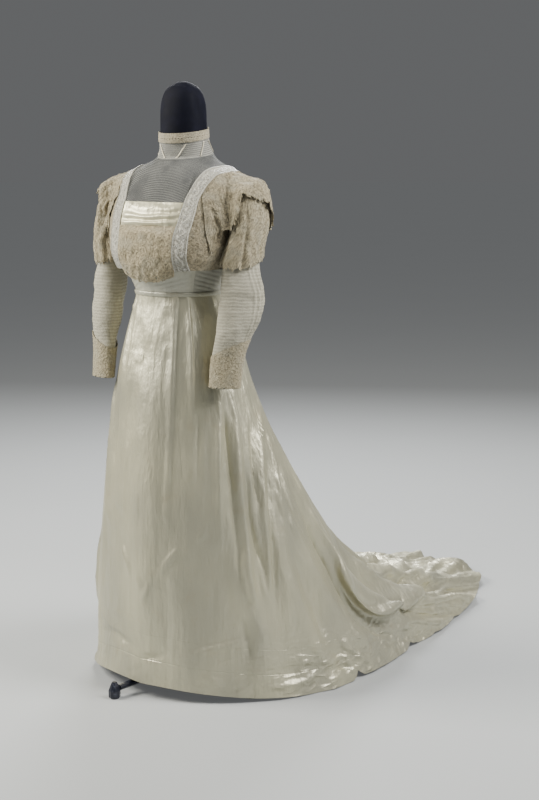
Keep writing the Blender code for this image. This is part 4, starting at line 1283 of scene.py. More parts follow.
@dataclass
class Collar:
    """The boned net stand collar with its lace band. Each grid is a count of rows and of columns.

    Attributes:
        tucks: Tucks of the net from seam to top, and their depth.
        band_from: Where the band starts, as a share of the collar's height.
        eyelet_pitch: Distance between eyelets in millimetres, as are their radius and that of their ring.
        stays: Angles of each stay's foot and head.
        stay_half: Half a stay's width, in degrees.
        stay_rows: Where they start and end, as shares of the height.
        off: How far the band and the stays stand off the form.
    """

    tucks: int = 13
    tuck_depth: float = 0.7 * MM
    net_grid: tuple[int, int] = (49, 145)
    band_from: float = 0.64
    band_grid: tuple[int, int] = (20, 321)
    eyelet_pitch: float = 8.0
    eyelet_radius: float = 1.5
    ring_radius: float = 2.4
    stays: tuple[tuple[float, float], ...] = ((-12, -37), (12, 37), (-62, -84), (62, 84), (-122, -104),
                                              (122, 104), (-164, -146), (164, 146))
    stay_half: float = 1.7
    stay_rows: tuple[float, float] = (0.03, 0.60)
    stay_grid: tuple[int, int] = (24, 9)
    off: float = ON_FORM + NET_THICK + 0.5 * MM
    net_finish: Net = Net(ground=0.28, tuck=0.60, wander=0.1, crushed=0.2 * MM)
    band_finish: Lace = Lace(tone=(0.482, 0.425, 0.302), ground_tone=(0.338, 0.296, 0.203), ground=0.72)
    stay_finish: Satin = Satin(tone=(0.515, 0.476, 0.367), shade=(0.452, 0.413, 0.312), metal=0.2)

    def place(self, turn: Array, share: Array) -> tuple[Array, Array]:
        """Angles and heights at shares of the collar's height."""
        turn, share = np.meshgrid(turn, share)
        return turn, neck_seam(turn) + (collar_top(turn) - neck_seam(turn)) * share

    def net(self) -> None:
        """The tucked net, its top edge turned in."""
        rows, columns = self.net_grid
        angle, z = self.place(np.linspace(-178.8, 178.8, columns), np.linspace(0.003, 0.995, rows))
        phase = np.linspace(0, self.tucks, rows)[:, None] + 0 * angle
        wall = BODY.wall(angle, z, ON_FORM + tucked(phase, self.tuck_depth), NET_THICK)
        wall.marks["tuck"] = phase + SEWN_LINE
        sewn("collar", wall, self.net_finish.material("collar_net"), Slot.NET, Held.STRETCHED, "form_torso")

    def band(self) -> None:
        """The lace band, with a row of eyelets and a picot edge standing above the net."""
        rows, columns = self.band_grid
        angle, z = self.place(np.linspace(-177, 177, columns), np.linspace(self.band_from, 1.04, rows))
        low = self.off + self.tuck_depth + 0.5 * MM * np.sin(np.radians(angle) * 14) * 0.3
        wall = BODY.wall(angle, z, low, LACE_THICK)
        flat = wall.flat()
        u, v = flat[..., 0], flat[..., 1]
        mid_u, mid_v = u[:-1, :-1], v[:-1, :-1]
        eyelet = self.from_eyelet(mid_u, mid_v, mid_v.max()) < self.eyelet_radius
        picot = (v.max() - mid_v) < 1.6 * MM * (1 - np.abs(np.sin(mid_u / (4.0 * MM) * math.pi)))
        lower = mid_v < 1.4 * MM * (1 - np.abs(np.sin(mid_u / (5.0 * MM) * math.pi)))
        wall.keep = wall.cells() & ~(eyelet | picot | lower)
        ring = 1.0 - np.abs(self.from_eyelet(u, v, v.max()) - self.ring_radius)
        wall.marks["motif"] = np.maximum(ring, LacePattern(7 * MM, 8).inside(u, v))
        sewn("collar_lace_band", wall, self.band_finish.material("collar_lace"), Slot.LACE, Held.STRETCHED,
             "collar")

    def from_eyelet(self, u: Array, v: Array, top: float) -> Array:
        """Distance in millimetres from the middle of the nearest eyelet, from flat coordinates."""
        across = (u / (self.eyelet_pitch * MM) + 0.5) % 1 - 0.5
        return np.hypot(across * self.eyelet_pitch, (v - top * 0.45) / MM)

    def bones(self) -> None:
        """The eight silk-covered stays, half round and slanting in pairs."""
        silk = self.stay_finish.material("stay_silk")
        low_row, high_row = self.stay_rows
        rows, columns = self.stay_grid
        for k, (foot, head) in enumerate(self.stays):
            share = np.linspace(low_row, high_row, rows)[:, None]
            across = np.linspace(-1, 1, columns)[None]
            angle = foot + (head - foot) * share / high_row + self.stay_half * across
            z = neck_seam(angle) + (collar_top(angle) - neck_seam(angle)) * share
            ends = np.sqrt(np.clip(1 - (2 * (share - low_row) / (high_row - low_row) - 1) ** 8, 0, 1))
            crown = (0.35 + 1.25 * np.sqrt(1 - across ** 2 * 0.96) * ends) * MM
            wall = BODY.wall(angle, z, self.off + self.tuck_depth * 0.6, crown)
            piece = wall.mesh(f"collar_stay_{k + 1}_silk")
            piece.data.materials.append(silk)
            hooked_on(piece, [f"collar_stay_{k + 1}"])

    def build(self) -> None:
        """Builds and dresses every piece."""
        self.net()
        self.band()
        self.bones()


@dataclass
class Yoke:
    """The sheer yoke, pin-tucked all over, in a front and two backs.

    Attributes:
        front_corner: Angle round the neck that runs down to the corner of strap and neckline.
        back_corner: The same behind.
        front_place: Where on the strap the front corner is, as for strap_edge.
        back_place: The same behind.
        tuck_pitch: Distance between tucks, and their depth.
        rows: Rows up to the neck.
    """

    front_corner: float = 40.0
    back_corner: float = 140.0
    front_place: float = -0.5
    back_place: float = 1 - 4.35 / 8
    tuck_pitch: float = 4.8 * MM
    tuck_depth: float = 0.55 * MM
    rows: int = 88
    front_columns: int = 101
    back_columns: int = 51
    finish: Net = Net(tone=(0.258, 0.258, 0.236), shade=(0.185, 0.191, 0.183), ground=0.13, tuck=0.50,
                      width=0.42, wander=0.15, crushed=0.2 * MM)

    def edge(self, turn: Array) -> tuple[Array, Array]:
        """The outer edge.

        Args:
            turn: Angles round the neck.

        Returns:
            Angle round the body and height of the edge for each.
        """
        side = np.abs(turn)
        front_angle, front_z = strap_edge(STRAP_INNER, np.array(self.front_place))
        back_angle, back_z = strap_edge(STRAP_INNER, np.array(self.back_place))
        share = np.clip((side - self.front_corner) / (self.back_corner - self.front_corner), 0, 1)
        angle, z = strap_edge(STRAP_INNER, self.front_place + (self.back_place - self.front_place) * share)
        in_front, behind = side < self.front_corner, side > self.back_corner
        angle = np.where(in_front, front_angle * side / self.front_corner, angle)
        past = (side - self.back_corner) / (180 - self.back_corner)
        angle = np.where(behind, back_angle + (180 - back_angle) * past, angle)
        return angle * np.sign(turn), np.where(in_front, front_z, np.where(behind, back_z, z))

    def wall(self, turn: Array) -> Wall:
        """The net between two angles round the neck, rows running up from the outer edge.

        Args:
            turn: The columns' angles round the neck.

        Returns:
            The cloth.
        """
        rows = np.linspace(0.001, 0.999, self.rows)[:, None]
        edge_turn, edge_z = self.edge(turn)
        angle = edge_turn + (turn - edge_turn) * rows ** 1.8
        z = edge_z + (neck_seam(turn) - edge_z) * rows
        travelled = lengths(BODY.point(angle, z), 0)
        phase = (travelled[-1] - travelled) / self.tuck_pitch
        low = (1.2 - 0.4 * rows) * MM + tucked(phase, self.tuck_depth)
        wall = BODY.wall(angle, z, low, NET_THICK)
        wall.marks["tuck"] = phase + SEWN_LINE
        return wall

    def build(self) -> None:
        """Builds and dresses the three pieces."""
        net = self.finish.material("yoke_net")
        front = self.wall(np.linspace(-89.9, 89.9, self.front_columns))
        back = self.wall(np.linspace(90.1, 178.8, self.back_columns))
        sewn("yoke_front", front, net, Slot.NET, Held.STRETCHED, "form_torso")
        sewn_twice("yoke_back", back, net, Slot.NET, Held.STRETCHED, "form_torso")


@dataclass(frozen=True)
class Armhole:
    """The left armhole, an upright oval on the side of the form.

    Attributes:
        y: Its middle.
        z: The middle's height.
        deep: Half its depth.
        high: Half its height.
        clear_deep: How far outside it the bodice's lace ends, front and back.
        clear_high: And above it.
    """

    y: float = 0.018
    z: float = 1.205
    deep: float = 0.060
    high: float = 0.076
    clear_deep: float = 0.0038
    clear_high: float = 0.0064


ARMHOLE = Armhole()


@dataclass
class Bodice:
    """The draped satin insert, the lace front, sides and back, the straps, the midriff and its piping.

    Each grid is a count of rows and of columns.

    Attributes:
        insert_heights: Levels across the insert.
        insert_folds: How far the satin stands off the form at those levels, in millimetres.
        insert_sag: How far the folds dip between the straps.
        insert_pinches: Small folds at its top: place across, lean and height in millimetres.
        front_holes: Worn gaps in the lace front: place across, share of its height, radius in millimetres.
        braid_rise: How far the straps' embroidery stands up.
        braid_repeat: Length of one wave of it.
        pleat_rise: Height of the midriff's pleats, and pleat_pitch is their distance.
        midriff: The midriff's pieces: name, angles of the two seams, columns.
        side_grid: Points along the whole strap, and columns.
        back_end: Height of the back lace's lower edge.
    """

    insert_heights: tuple[float, ...] = (LACE_TOP, 1.174, 1.183, 1.192, 1.201, 1.210, NECKLINE)
    insert_folds: tuple[float, ...] = (0.4, 6.6, 1.6, 7.4, 2.2, 5.6, 1.2)
    insert_sag: float = 8.0 * MM
    insert_pinches: tuple[tuple[float, float, float], ...] = (
        (-0.62, 0.5, 1.6), (-0.28, -0.4, 1.2), (0.10, 0.9, 1.4), (0.55, 0.5, 1.1))
    front_holes: tuple[tuple[float, float, float], ...] = (
        (-0.80, 0.10, 3.4), (-0.72, 0.20, 2.8), (-0.86, 0.24, 2.2), (-0.62, 0.07, 2.4), (-0.30, 0.05, 2.4),
        (0.02, 0.14, 2.2), (0.34, 0.12, 2.4), (0.58, 0.05, 2.0))
    braid_rise: float = 0.9 * MM
    braid_repeat: float = 34 * MM
    pleat_rise: float = 1.6 * MM
    pleat_pitch: float = 11 * MM
    insert_grid: tuple[int, int] = (57, 101)
    front_grid: tuple[int, int] = (80, 105)
    strap_grid: tuple[int, int] = (23, 281)
    side_grid: tuple[int, int] = (171, 32)
    back_grid: tuple[int, int] = (60, 44)
    back_end: float = 1.056
    midriff_rows: int = 36
    midriff: tuple[tuple[str, float, float, int], ...] = (
        ("front", -54, 54, 73), ("side_left", 54, 126, 53), ("side_right", -126, -54, 53),
        ("back_left", 126, 180, 73), ("back_right", 180, 234, 73))
    piping_columns: int = 240
    piping_rows: int = 13
    insert_finish: Satin = Satin(tone=(0.593, 0.565, 0.41), shade=(0.515, 0.485, 0.34), metal=0.45)
    front_finish: Lace = Lace(tone=(0.499, 0.425, 0.27), ground_tone=(0.213, 0.178, 0.111), ground=0.78)
    # The side and back lace is the front's lace painted about a quarter darker: painted shade, as beside the
    # arms.
    side_finish_shaded: Lace = Lace(tone=(0.385, 0.328, 0.211), ground_tone=(0.158, 0.131, 0.084), ground=0.80)
    # The midriff's satin and net are painted darker and greyer than the skirt's satin and the sleeves' net:
    # painted shade under the bloused lace and the arms.
    midriff_satin_shaded: Satin = Satin(tone=(0.452, 0.443, 0.358), shade=(0.358, 0.352, 0.29), metal=0.3)
    midriff_net_shaded: Net = Net(tone=(0.345, 0.338, 0.28), shade=(0.285, 0.283, 0.236), ground=0.90, tuck=0.96,
                           width=0.6, wander=0.8)
    # The piping's satin is painted darker than the skirt's: painted shade, as under the bloused lace above
    # it.
    piping_finish_shaded: Satin = Satin(tone=(0.402, 0.394, 0.308), shade=(0.318, 0.313, 0.248), metal=0.3)

    def insert(self) -> None:
        """Satin laid in soft folds that sag between the straps, pinched here and there."""
        rows, columns = self.insert_grid
        across = np.linspace(-0.996, 0.996, columns)[None]
        level = np.linspace(LACE_TOP + 0.2 * MM, NECKLINE - 0.2 * MM, rows)[:, None]
        ends = 1 - across ** 6
        share = (level - LACE_TOP) / (NECKLINE - LACE_TOP)
        dip = (self.insert_sag * (1 - (across - 0.2) ** 2) * np.sin(share * math.pi)
               - 4.0 * MM * across * np.sin(share * 4.6) + 1.1 * MM * np.sin(across * 8 + share * 5))
        folds = smooth_curve(self.insert_heights, np.array(self.insert_folds), level + dip) * MM
        pinch = sum(size * bell(across - at - lean * (share - 0.8), 0.035) * ease((share - 0.55) / 0.3)
                    for at, lean, size in self.insert_pinches)
        rise = folds * (0.35 + 0.65 * ends) + pinch * MM * ease((1 - share) / 0.15)
        low = ON_FORM + rise * (0.2 + 0.8 * ends)
        angle = across * edge_angle(STRAP_INNER, level)
        wall = BODY.wall(angle, level + 0 * angle, low, SATIN_THICK)
        satin = self.insert_finish.material("insert_satin")
        sewn("neckline_insert", wall, satin, Slot.SATIN, Held.DRAPED, "form_torso")

    def lace_front(self) -> None:
        """The lace that bags over the waist in shallow swags, with a scalloped edge and worn gaps."""
        across = np.linspace(-0.994, 0.994, self.front_grid[1])[None]
        rows = np.linspace(1, 0, self.front_grid[0])[:, None]
        edge = self.swag(across * float(edge_angle(STRAP_INNER, np.array(STRAP_END))))
        z = edge + (LACE_TOP - edge) * rows
        angle = across * edge_angle(STRAP_INNER, np.maximum(z, STRAP_END))
        drape = 3.0 * MM * np.sin(rows * 9.0 + 2.2 * across ** 2) * ease(rows * 4)
        drape = drape + 1.3 * MM * np.sin(rows * 23 + 5 * across ** 2 + across) * ease(rows * 3)
        small = 1.6 * MM * soft_noise(np.dstack([across * 0.10 + 0 * rows, z, 0 * z]), 0.012, 4)
        low = ON_FORM + blouse(z) + 3.4 * MM + (drape + small) * (1 - across ** 4)
        top = ease((1 - rows) / 0.12)
        low = low * top + (ON_FORM + 0.9 * MM) * (1 - top)
        wall = laced(BODY.wall(angle, z, low, LACE_THICK), LacePattern(13 * MM, 11), edge=3.0 * MM, seed=21)
        flat = wall.flat()
        for at, up, radius in self.front_holes:
            k = int((at + 1) / 2 * (flat.shape[1] - 1))
            row = int((1 - up) * (flat.shape[0] - 1))
            away = np.hypot(flat[..., 0] - flat[row, k, 0], (flat[..., 1] - flat[row, k, 1]) * 0.8)[:-1, :-1]
            wall.keep &= away > radius * MM
        sewn("lace_front", wall, self.front_finish.material("front_lace"), Slot.LACE, Held.DRAPED,
             "form_torso", "neckline_insert")

    @staticmethod
    def swag(angle: Array) -> Array:
        """Height of the lace front's edge: lowest in the middle, rising to the sides, scalloped."""
        return 1.0353 + 0.030 * ease(np.abs(angle) / 52) - 2.6 * MM * np.abs(np.sin(np.radians(angle) * 7.5))

    def straps(self) -> None:
        """The embroidered braid straps, edged and worked with beads."""
        along = np.linspace(-1, 1, self.strap_grid[1])[None]
        share = np.linspace(0, 1, self.strap_grid[0])[:, None]
        inner_angle, inner_z = strap_edge(STRAP_INNER, along[0])
        outer_angle, outer_z = strap_edge(STRAP_OUTER, along[0])
        angle = outer_angle + (inner_angle - outer_angle) * share
        z = outer_z + (inner_z - outer_z) * share
        travelled = lengths(BODY.point(angle, z), 1)[len(share) // 2]
        side, turn = share * 2 - 1, travelled / self.braid_repeat * 2 * math.pi
        stem = np.abs(side - 0.42 * np.sin(turn + 0.9 * np.sin(turn * 0.43))) * 15 * MM
        leaf_at = (travelled / self.braid_repeat * 4) % 1 - 0.5
        lean = np.where(np.floor(travelled / self.braid_repeat * 4) % 2 > 0, 1.0, -1.0)
        leaf = (2.6 * MM * (1 - (leaf_at * 2) ** 2)
                - np.abs(side * 15 * MM - lean * (5.5 * MM + 4 * MM * leaf_at)))
        work = np.maximum(bell(stem, 1.7 * MM), ease(leaf / (1.6 * MM) + 0.3))
        hem = ease((np.abs(side) - 0.80) / 0.08)
        work = np.maximum(work * (1 - hem), hem)
        low = ON_FORM + 1.45 * MM + blouse(z)
        wall = BODY.wall(angle, z, low, 1.5 * MM + self.braid_rise * work)
        wall.marks["motif"] = work + 0 * z
        finish = Braid().material("strap_braid")
        glass = Bead().material("strap_beads")
        spots, radii = self.bead_places(wall, travelled)
        for hand, cloth, sign in (("left", wall, np.ones(3)), ("right", wall.flipped(), MIRROR)):
            sewn(f"strap_{hand}", cloth, finish, Slot.BRAID, Held.STRETCHED, "form_torso",
                 f"yoke_back_{hand}")
            piece = beads(f"strap_{hand}_beads", spots * sign, radii)
            piece.data.materials.append(glass)
            hooked_on(piece, [])

    def bead_places(self, wall: Wall, travelled: Array) -> tuple[Array, Array]:
        """Middles and radii of a strap's beads: two edge rows, the waving stem and small rosettes.

        Args:
            wall: The strap.
            travelled: Distance along it at each column.

        Returns:
            The beads' middles and radii.
        """
        rows, columns = wall.outer.shape[:2]
        repeat, total = self.braid_repeat, float(travelled[-1])
        rim = np.arange(3 * MM, total - 3 * MM, 2.7 * MM)
        stem = np.arange(4 * MM, total - 4 * MM, 3.1 * MM)
        middle = np.arange(repeat / 4, total - repeat / 4, repeat / 2)
        ring = np.arange(7) * 2 * math.pi / 7
        lift = np.where(np.arange(len(middle)) % 2 > 0, -1.0, 1.0) * 0.34
        places = [
            (rim, 0 * rim + 0.91, 0 * rim + 0.85),
            (rim, 0 * rim - 0.91, 0 * rim + 0.85),
            (stem, 0.42 * np.sin(stem / repeat * 2 * math.pi), 0 * stem + 0.8),
            (middle, -lift, 0 * middle + 1.6),
            ((middle[:, None] + 3.6 * MM * np.cos(ring)).ravel(),
             (-lift[:, None] + 3.6 / 15 * np.sin(ring)).ravel(), np.full(len(middle) * 7, 0.95)),
        ]
        at, side, size = (np.concatenate([p[k] for p in places]) for k in range(3))
        column_at = np.interp(at, travelled, np.arange(columns))
        row_at = (np.clip(side, -0.95, 0.95) + 1) / 2 * (rows - 1)
        i, j = np.minimum(row_at.astype(int), rows - 2), np.minimum(column_at.astype(int), columns - 2)
        facing = unit(wall.outer[i, j] - wall.inner[i, j])
        radius = size * MM
        return between(wall.outer, row_at, column_at) + facing * (radius * 0.45)[:, None], radius

    def sides(self) -> None:
        """Lace between the straps and armholes and over the back, painted darker than the front as shade."""
        count, columns = self.side_grid
        along = np.linspace(-1, 1, count)
        finish = self.side_finish_shaded.material("side_lace_shaded")
        arm_top = ARMHOLE.z + ARMHOLE.high + ARMHOLE.clear_high - 1.0 * MM
        share = np.linspace(0.004, 0.996, columns)
        for name, side in (("lace_side_front", -1), ("lace_side_back", 1)):
            out, heights = strap_edge(STRAP_OUTER, along[along * side > 0])
            out, heights = out[heights < arm_top], heights[heights < arm_top]
            order = np.argsort(-heights)
            out, heights = out[order], heights[order]
            t = np.clip((heights - ARMHOLE.z) / (ARMHOLE.high + ARMHOLE.clear_high), -1, 1)
            reach = (ARMHOLE.deep + ARMHOLE.clear_deep) * np.sqrt(1 - t * t)
            arm = BODY.angle_of_y(ARMHOLE.y + side * reach, heights)
            first, last = (out, arm) if side < 0 else (arm, out)
            angle = first[:, None] + (last - first)[:, None] * share
            z = np.repeat(heights[:, None], columns, axis=1)
            spots = BODY.point(angle, z)
            reach = np.linalg.norm(spots - BODY.point(arm[:, None], z), axis=-1)
            low = ON_FORM + 0.4 * MM + blouse(z, 0.75) * np.where(z > 1.105, ease(reach / 0.028), 1.0)
            low = low + 1.1 * MM * (1 + soft_noise(spots, 0.014, 6)) * ease(reach / 0.02)
            wall = laced(BODY.wall(angle, z, low, LACE_THICK), LacePattern(13 * MM, 5))
            sewn_twice(name, wall, finish, Slot.LACE, Held.DRAPED, "form_torso", "strap_{}")

        rows, columns = self.back_grid
        first, heights = strap_edge(STRAP_INNER, np.linspace(Yoke().back_place, 1, rows))
        first, heights = np.append(first, first[-1]), np.append(heights, self.back_end)
        angle = first[:, None] + (179.4 - first)[:, None] * np.linspace(0.003, 1, columns)
        z = np.repeat(heights[:, None], columns, axis=1)
        rough = 1.0 * MM * (1 + soft_noise(BODY.point(angle, z), 0.016, 9))
        low = ON_FORM + 0.4 * MM + blouse(z, 0.8) + rough
        wall = laced(BODY.wall(angle, z, low, LACE_THICK), LacePattern(13 * MM, 14), edge=2.0 * MM)
        sewn_twice("lace_back", wall, finish, Slot.LACE, Held.DRAPED, "form_torso", "strap_{}")

    def band(self) -> None:
        """The band under the lace: satin front and back, slanting net pleats at the sides, all painted darker
        as shade.
        """
        satin, net = self.midriff_satin_shaded.material("midriff_satin_shaded"), self.midriff_net_shaded.material("midriff_net_shaded")
        for name, first, last, columns in self.midriff:
            side = "side" in name
            angle, z = np.meshgrid(np.linspace(first + 0.12, last - 0.12, columns),
                                   np.linspace(WAIST + 0.1 * MM, MIDRIFF_TOP, self.midriff_rows))
            lean = 1.0 if first >= 0 else -1.0
            pleat = (z - WAIST) / self.pleat_pitch + lean * np.radians(angle) * 2.6
            ends = ease((angle - first) / 6) * ease((last - angle) / 6) * ease((z - WAIST) / 0.012)
            low = ON_FORM + self.pleat_rise * tucked(pleat, 1.0) * ends * (0.8 if side else 0.6)
            wall = BODY.wall(angle, z, low, NET_THICK if side else SATIN_THICK)
            wall.marks["tuck"] = pleat
            finish, slot = (net, Slot.NET) if side else (satin, Slot.SATIN)
            sewn(f"midriff_{name}", wall, finish, slot, Held.GATHERED, "form_torso")

    def piping(self) -> None:
        """The rolled satin round the waist, painted darker than the skirt as shade."""
        turn = np.arange(self.piping_columns) * 360 / self.piping_columns
        angle, share = np.meshgrid(turn, np.linspace(-1, 1, self.piping_rows))
        z = WAIST + 5.6 * MM * share
        round_off = np.sqrt(1 - share ** 2 * 0.94)
        twist = 0.25 * MM * np.sin(np.radians(angle) * 40 + share * 2.2)
        thick = (0.5 + 2.0 * round_off) * MM + twist * round_off
        wall = BODY.wall(angle, z, ON_FORM + 1.4 * MM + 0.7 * MM, thick)
        wall.closed = True
        satin = self.piping_finish_shaded.material("piping_satin_shaded")
        sewn("waist_piping", wall, satin, Slot.SATIN, Held.STRETCHED, "midriff_front", "skirt_front")

    def build(self) -> None:
        """Builds and dresses every piece."""
        self.insert()
        self.lace_front()
        self.straps()
        self.sides()
        self.band()
        self.piping()


# Sleeves, cuffs and the lace over the shoulders


@dataclass
class Sleeves:
    """The long net sleeves with their cuffs, the lace sleeves over them and the shoulder capes.

    Attributes:
        head: The sleeve head turns about the armpit: angle, nearest and furthest point, half depth, y.
        arm: The arm below: height, centre x and y, broad and thin half size, direction of the broad one.
        last_row: Row of the wrist; row 0 is the armhole, and each ring of the two tables is one more.
        tucks: Tucks from the armhole to the wrist.
        seam_tucks: The long ones: place beside the back seam in degrees, height in millimetres.
        lace_top: Row where the lace sleeve is sewn on; sewn_on is how far it stands off the net there.
        lace_lift: How far it stands off the net in its valleys; lace_swell is how much more between them.
        cape_turn: The cape's columns, as angles round the arm.
        cape_on_body: Its rows on the body, as shares of the way from the strap to the armhole.
        cape_off_body: How far they stand off the form, in millimetres.
        cape_on_sleeve: Its rows over the arm, as shares of the way from cape_first_row to its hem.
        cape_hem: Turn and row of its free edge.
        cape_reach: Where on the strap it ends, as for strap_edge.
        cape_lift: How far it stands off the sleeve; cape_clear is its gap to the lace sleeve under it.
        cape_swell: Rise of its waves, and cape_curl of its turned-up edge.
        cape_front: y and height of the ends of its first columns, which hang on the bodice.
        cape_join: Columns added between those and the rest, as shares of the way.
        cape_front_share: Places of the rows down those first columns.
        first_rows: Rows of the rough surface that the tucks are spaced on evenly.
    """

    armpit: tuple[float, float] = (0.156, 1.118)
    head: tuple[tuple[float, ...], ...] = (
        (18.0, 0.0145, 0.1590, 0.0600, 0.015),
        (35.0, 0.0145, 0.1270, 0.0580, 0.009),
        (53.0, 0.0145, 0.0990, 0.0550, 0.002),
        (72.0, 0.0145, 0.0795, 0.0520, -0.006),
        (90.0, 0.0145, 0.0740, 0.0500, -0.014),
    )
    arm: tuple[tuple[float, ...], ...] = (
        (1.060, 0.1940, -0.023, 0.049, 0.034, 72.0),
        (1.000, 0.2000, -0.025, 0.054, 0.040, 50.0),
        (0.950, 0.1985, -0.040, 0.050, 0.038, 42.0),
        (0.900, 0.1920, -0.057, 0.042, 0.031, 35.0),
        (0.850, 0.1850, -0.070, 0.038, 0.024, 28.0),
        (0.778, 0.1830, -0.081, 0.036, 0.018, 20.0),
    )
    last_row: float = 11.0
    tucks: int = 58
    tuck_depth: float = 0.25 * MM
    seam_turn: float = 12.0  # where round the arm the back seam's long tucks run
    seam_tucks: tuple[tuple[float, float], ...] = ((-26.0, 2.4), (-13.0, 3.4), (0.0, 4.0), (13.0, 3.0))
    lace_top: float = 1.25
    sewn_on: float = 2.9 * MM
    lace_lift: float = 4.2 * MM
    lace_swell: float = 5.2 * MM
    lace_folds: tuple[tuple[float, float, float], ...] = (  # turn, half width, depth of each valley
        (-118.0, 9.0, 0.8), (-86.0, 10.0, 0.7), (-52.0, 6.5, 1.0), (-22.0, 9.0, 0.55), (8.0, 7.0, 0.8),
        (34.0, 7.0, 0.7), (62.0, 6.0, 0.9), (96.0, 9.0, 0.7), (126.0, 8.0, 0.7))
    cape_turn: tuple[float, ...] = (-112, -106, -98, -86, -74, -62, -50, -38, -24, -8, 8, 24, 40, 56, 72, 88,
                                    104, 124)
    cape_on_body: tuple[float, ...] = (0.12, 0.55, 1.0)
    cape_off_body: tuple[float, ...] = (3.5, 6.0, 5.8)  # millimetres
    cape_on_sleeve: tuple[float, ...] = (0.0, 0.22, 0.5, 1.0)
    cape_first_row: float = 0.5
    cape_hem: tuple[tuple[float, float], ...] = (
        (-98, 2.90), (-85, 2.45), (-70, 2.10), (-58, 1.55), (-50, 1.45), (-35, 1.75), (-10, 2.05), (20, 2.50),
        (40, 3.20), (70, 3.40), (100, 3.40), (124, 3.70))
    cape_reach: float = 0.42
    cape_lift: float = 6.2 * MM
    cape_swell: float = 2.0 * MM
    cape_curl: float = 6.0 * MM
    cape_clear: float = 4.2 * MM
    cape_front: tuple[tuple[float, float], ...] = ((-0.080, 1.100), (-0.068, 1.150))
    cape_join: tuple[float, ...] = (0.25, 0.5, 0.75)
    cape_front_share: tuple[float, ...] = (0.04, 0.16, 0.30, 0.45, 0.62, 0.80, 1.0)
    net_sides: int = 120
    net_rows: int = 112
    first_rows: int = 60
    cuff_grid: tuple[int, int] = (46, 126)
    lace_grid: tuple[int, int] = (70, 136)
    cape_grid: tuple[int, int] = (60, 160)
    net_finish: Net = Net(tone=(0.452, 0.429, 0.339), shade=(0.351, 0.332, 0.257), ground=0.72, tuck=0.84,
                          width=0.44, wander=0.9, crushed=1.6 * MM)
    cuff_finish: Lace = Lace(tone=(0.402, 0.351, 0.231), ground_tone=(0.273, 0.234, 0.151), ground=0.85)
    lace_finish: Lace = Lace()
    cape_finish: Lace = Lace(tone=(0.418, 0.359, 0.231), ground_tone=(0.169, 0.142, 0.091), ground=0.76)

    def rings(self, turn: Array) -> Array:
        """Points of the left sleeve's rings from armhole to wrist.

        0 degrees is the top or outside of the arm, 90 its back and -90 its front.

        Args:
            turn: Angles round the arm.

        Returns:
            One row of points for each ring.
        """
        t = np.radians(turn)
        y, z = ARMHOLE.y + ARMHOLE.deep * np.sin(t), ARMHOLE.z + ARMHOLE.high * np.cos(t)
        half_width, centre, half_depth, roundness = BODY.section(z)
        x = half_width * (1 - np.abs((y - centre) / half_depth) ** roundness) ** (1 / roundness)
        rings = [xyz(x + ON_FORM, y, z)]
        px, pz = self.armpit
        for tilt, near, far, half, py in self.head:
            a = math.radians(tilt)
            reach = (far + near) / 2 + (far - near) / 2 * np.cos(t)
            rings.append(xyz(px + math.sin(a) * reach, py + half * np.sin(t), pz + math.cos(a) * reach))
        for height, cx, cy, broad, thin, direction in self.arm:
            a = math.radians(direction)
            along, across = np.array([math.cos(a), math.sin(a)]), np.array([-math.sin(a), math.cos(a)])
            plan = np.stack([np.cos(t), np.sin(t)], axis=-1)
            spot = broad * (plan @ along)[:, None] * along + thin * (plan @ across)[:, None] * across
            rings.append(xyz(cx + spot[:, 0], cy + spot[:, 1], np.full(len(turn), height)))
        return np.stack(rings)

    def surface(self, turn: Array, row: Array) -> Array:
        """Points between the rings, for one line of turns and a grid of row places."""
        table = self.rings(turn)
        return smooth_curve(np.arange(len(table)), table, row)

    def net(self) -> Wall:
        """The left net sleeve: level tucks all the way down and a few long ones along its back seam."""
        turn = np.linspace(-180, 180, self.net_sides + 1)[:-1]
        first = np.linspace(0, self.last_row, self.first_rows)
        coarse = self.surface(turn, np.repeat(first[:, None], len(turn), axis=1))
        places = even_places(first, lengths(coarse, 0).mean(axis=1), self.net_rows)
        row = np.repeat(places[:, None], len(turn), axis=1)
        grid = self.surface(turn, row)
        side = -normals(grid, True)
        angle = np.radians(turn)
        ripple = 1.0 * MM * np.sin(row * 3.3 + angle * 2) * ease((row - 5) / 2) * ease((10.5 - row) / 1.5)
        crush = 2.8 * MM * soft_noise(grid, 0.023, 12, (1, 1, 0.4)) * ease((row - 1.5) / 2)
        crush = crush + 1.0 * MM * soft_noise(grid, 0.014, 13, (0.6, 0.6, 1.4)) * ease((row - 5) / 2)
        crush = crush * ease((self.last_row - row) / 1.0)
        phase = np.linspace(0, self.tucks, self.net_rows)[:, None] + 0.25 * soft_noise(grid, 0.05, 30)
        lift = ripple + crush + self.tuck_depth * ease((self.last_row - row) / 0.3)
        mask = ease((row - 5.4) / 0.8) * ease((10.8 - row) / 0.8)
        wander = self.seam_turn + 10 * np.sin(row * 0.8)
        for shift, height in self.seam_tucks:
            lift = lift + height * MM * bell((turn - wander - shift), 3.0) * mask
        inner = grid + side * (lift - self.tuck_depth * 0.5)[..., None]
        return Wall(inner, inner + side * NET_THICK, True, None, {"tuck": phase})

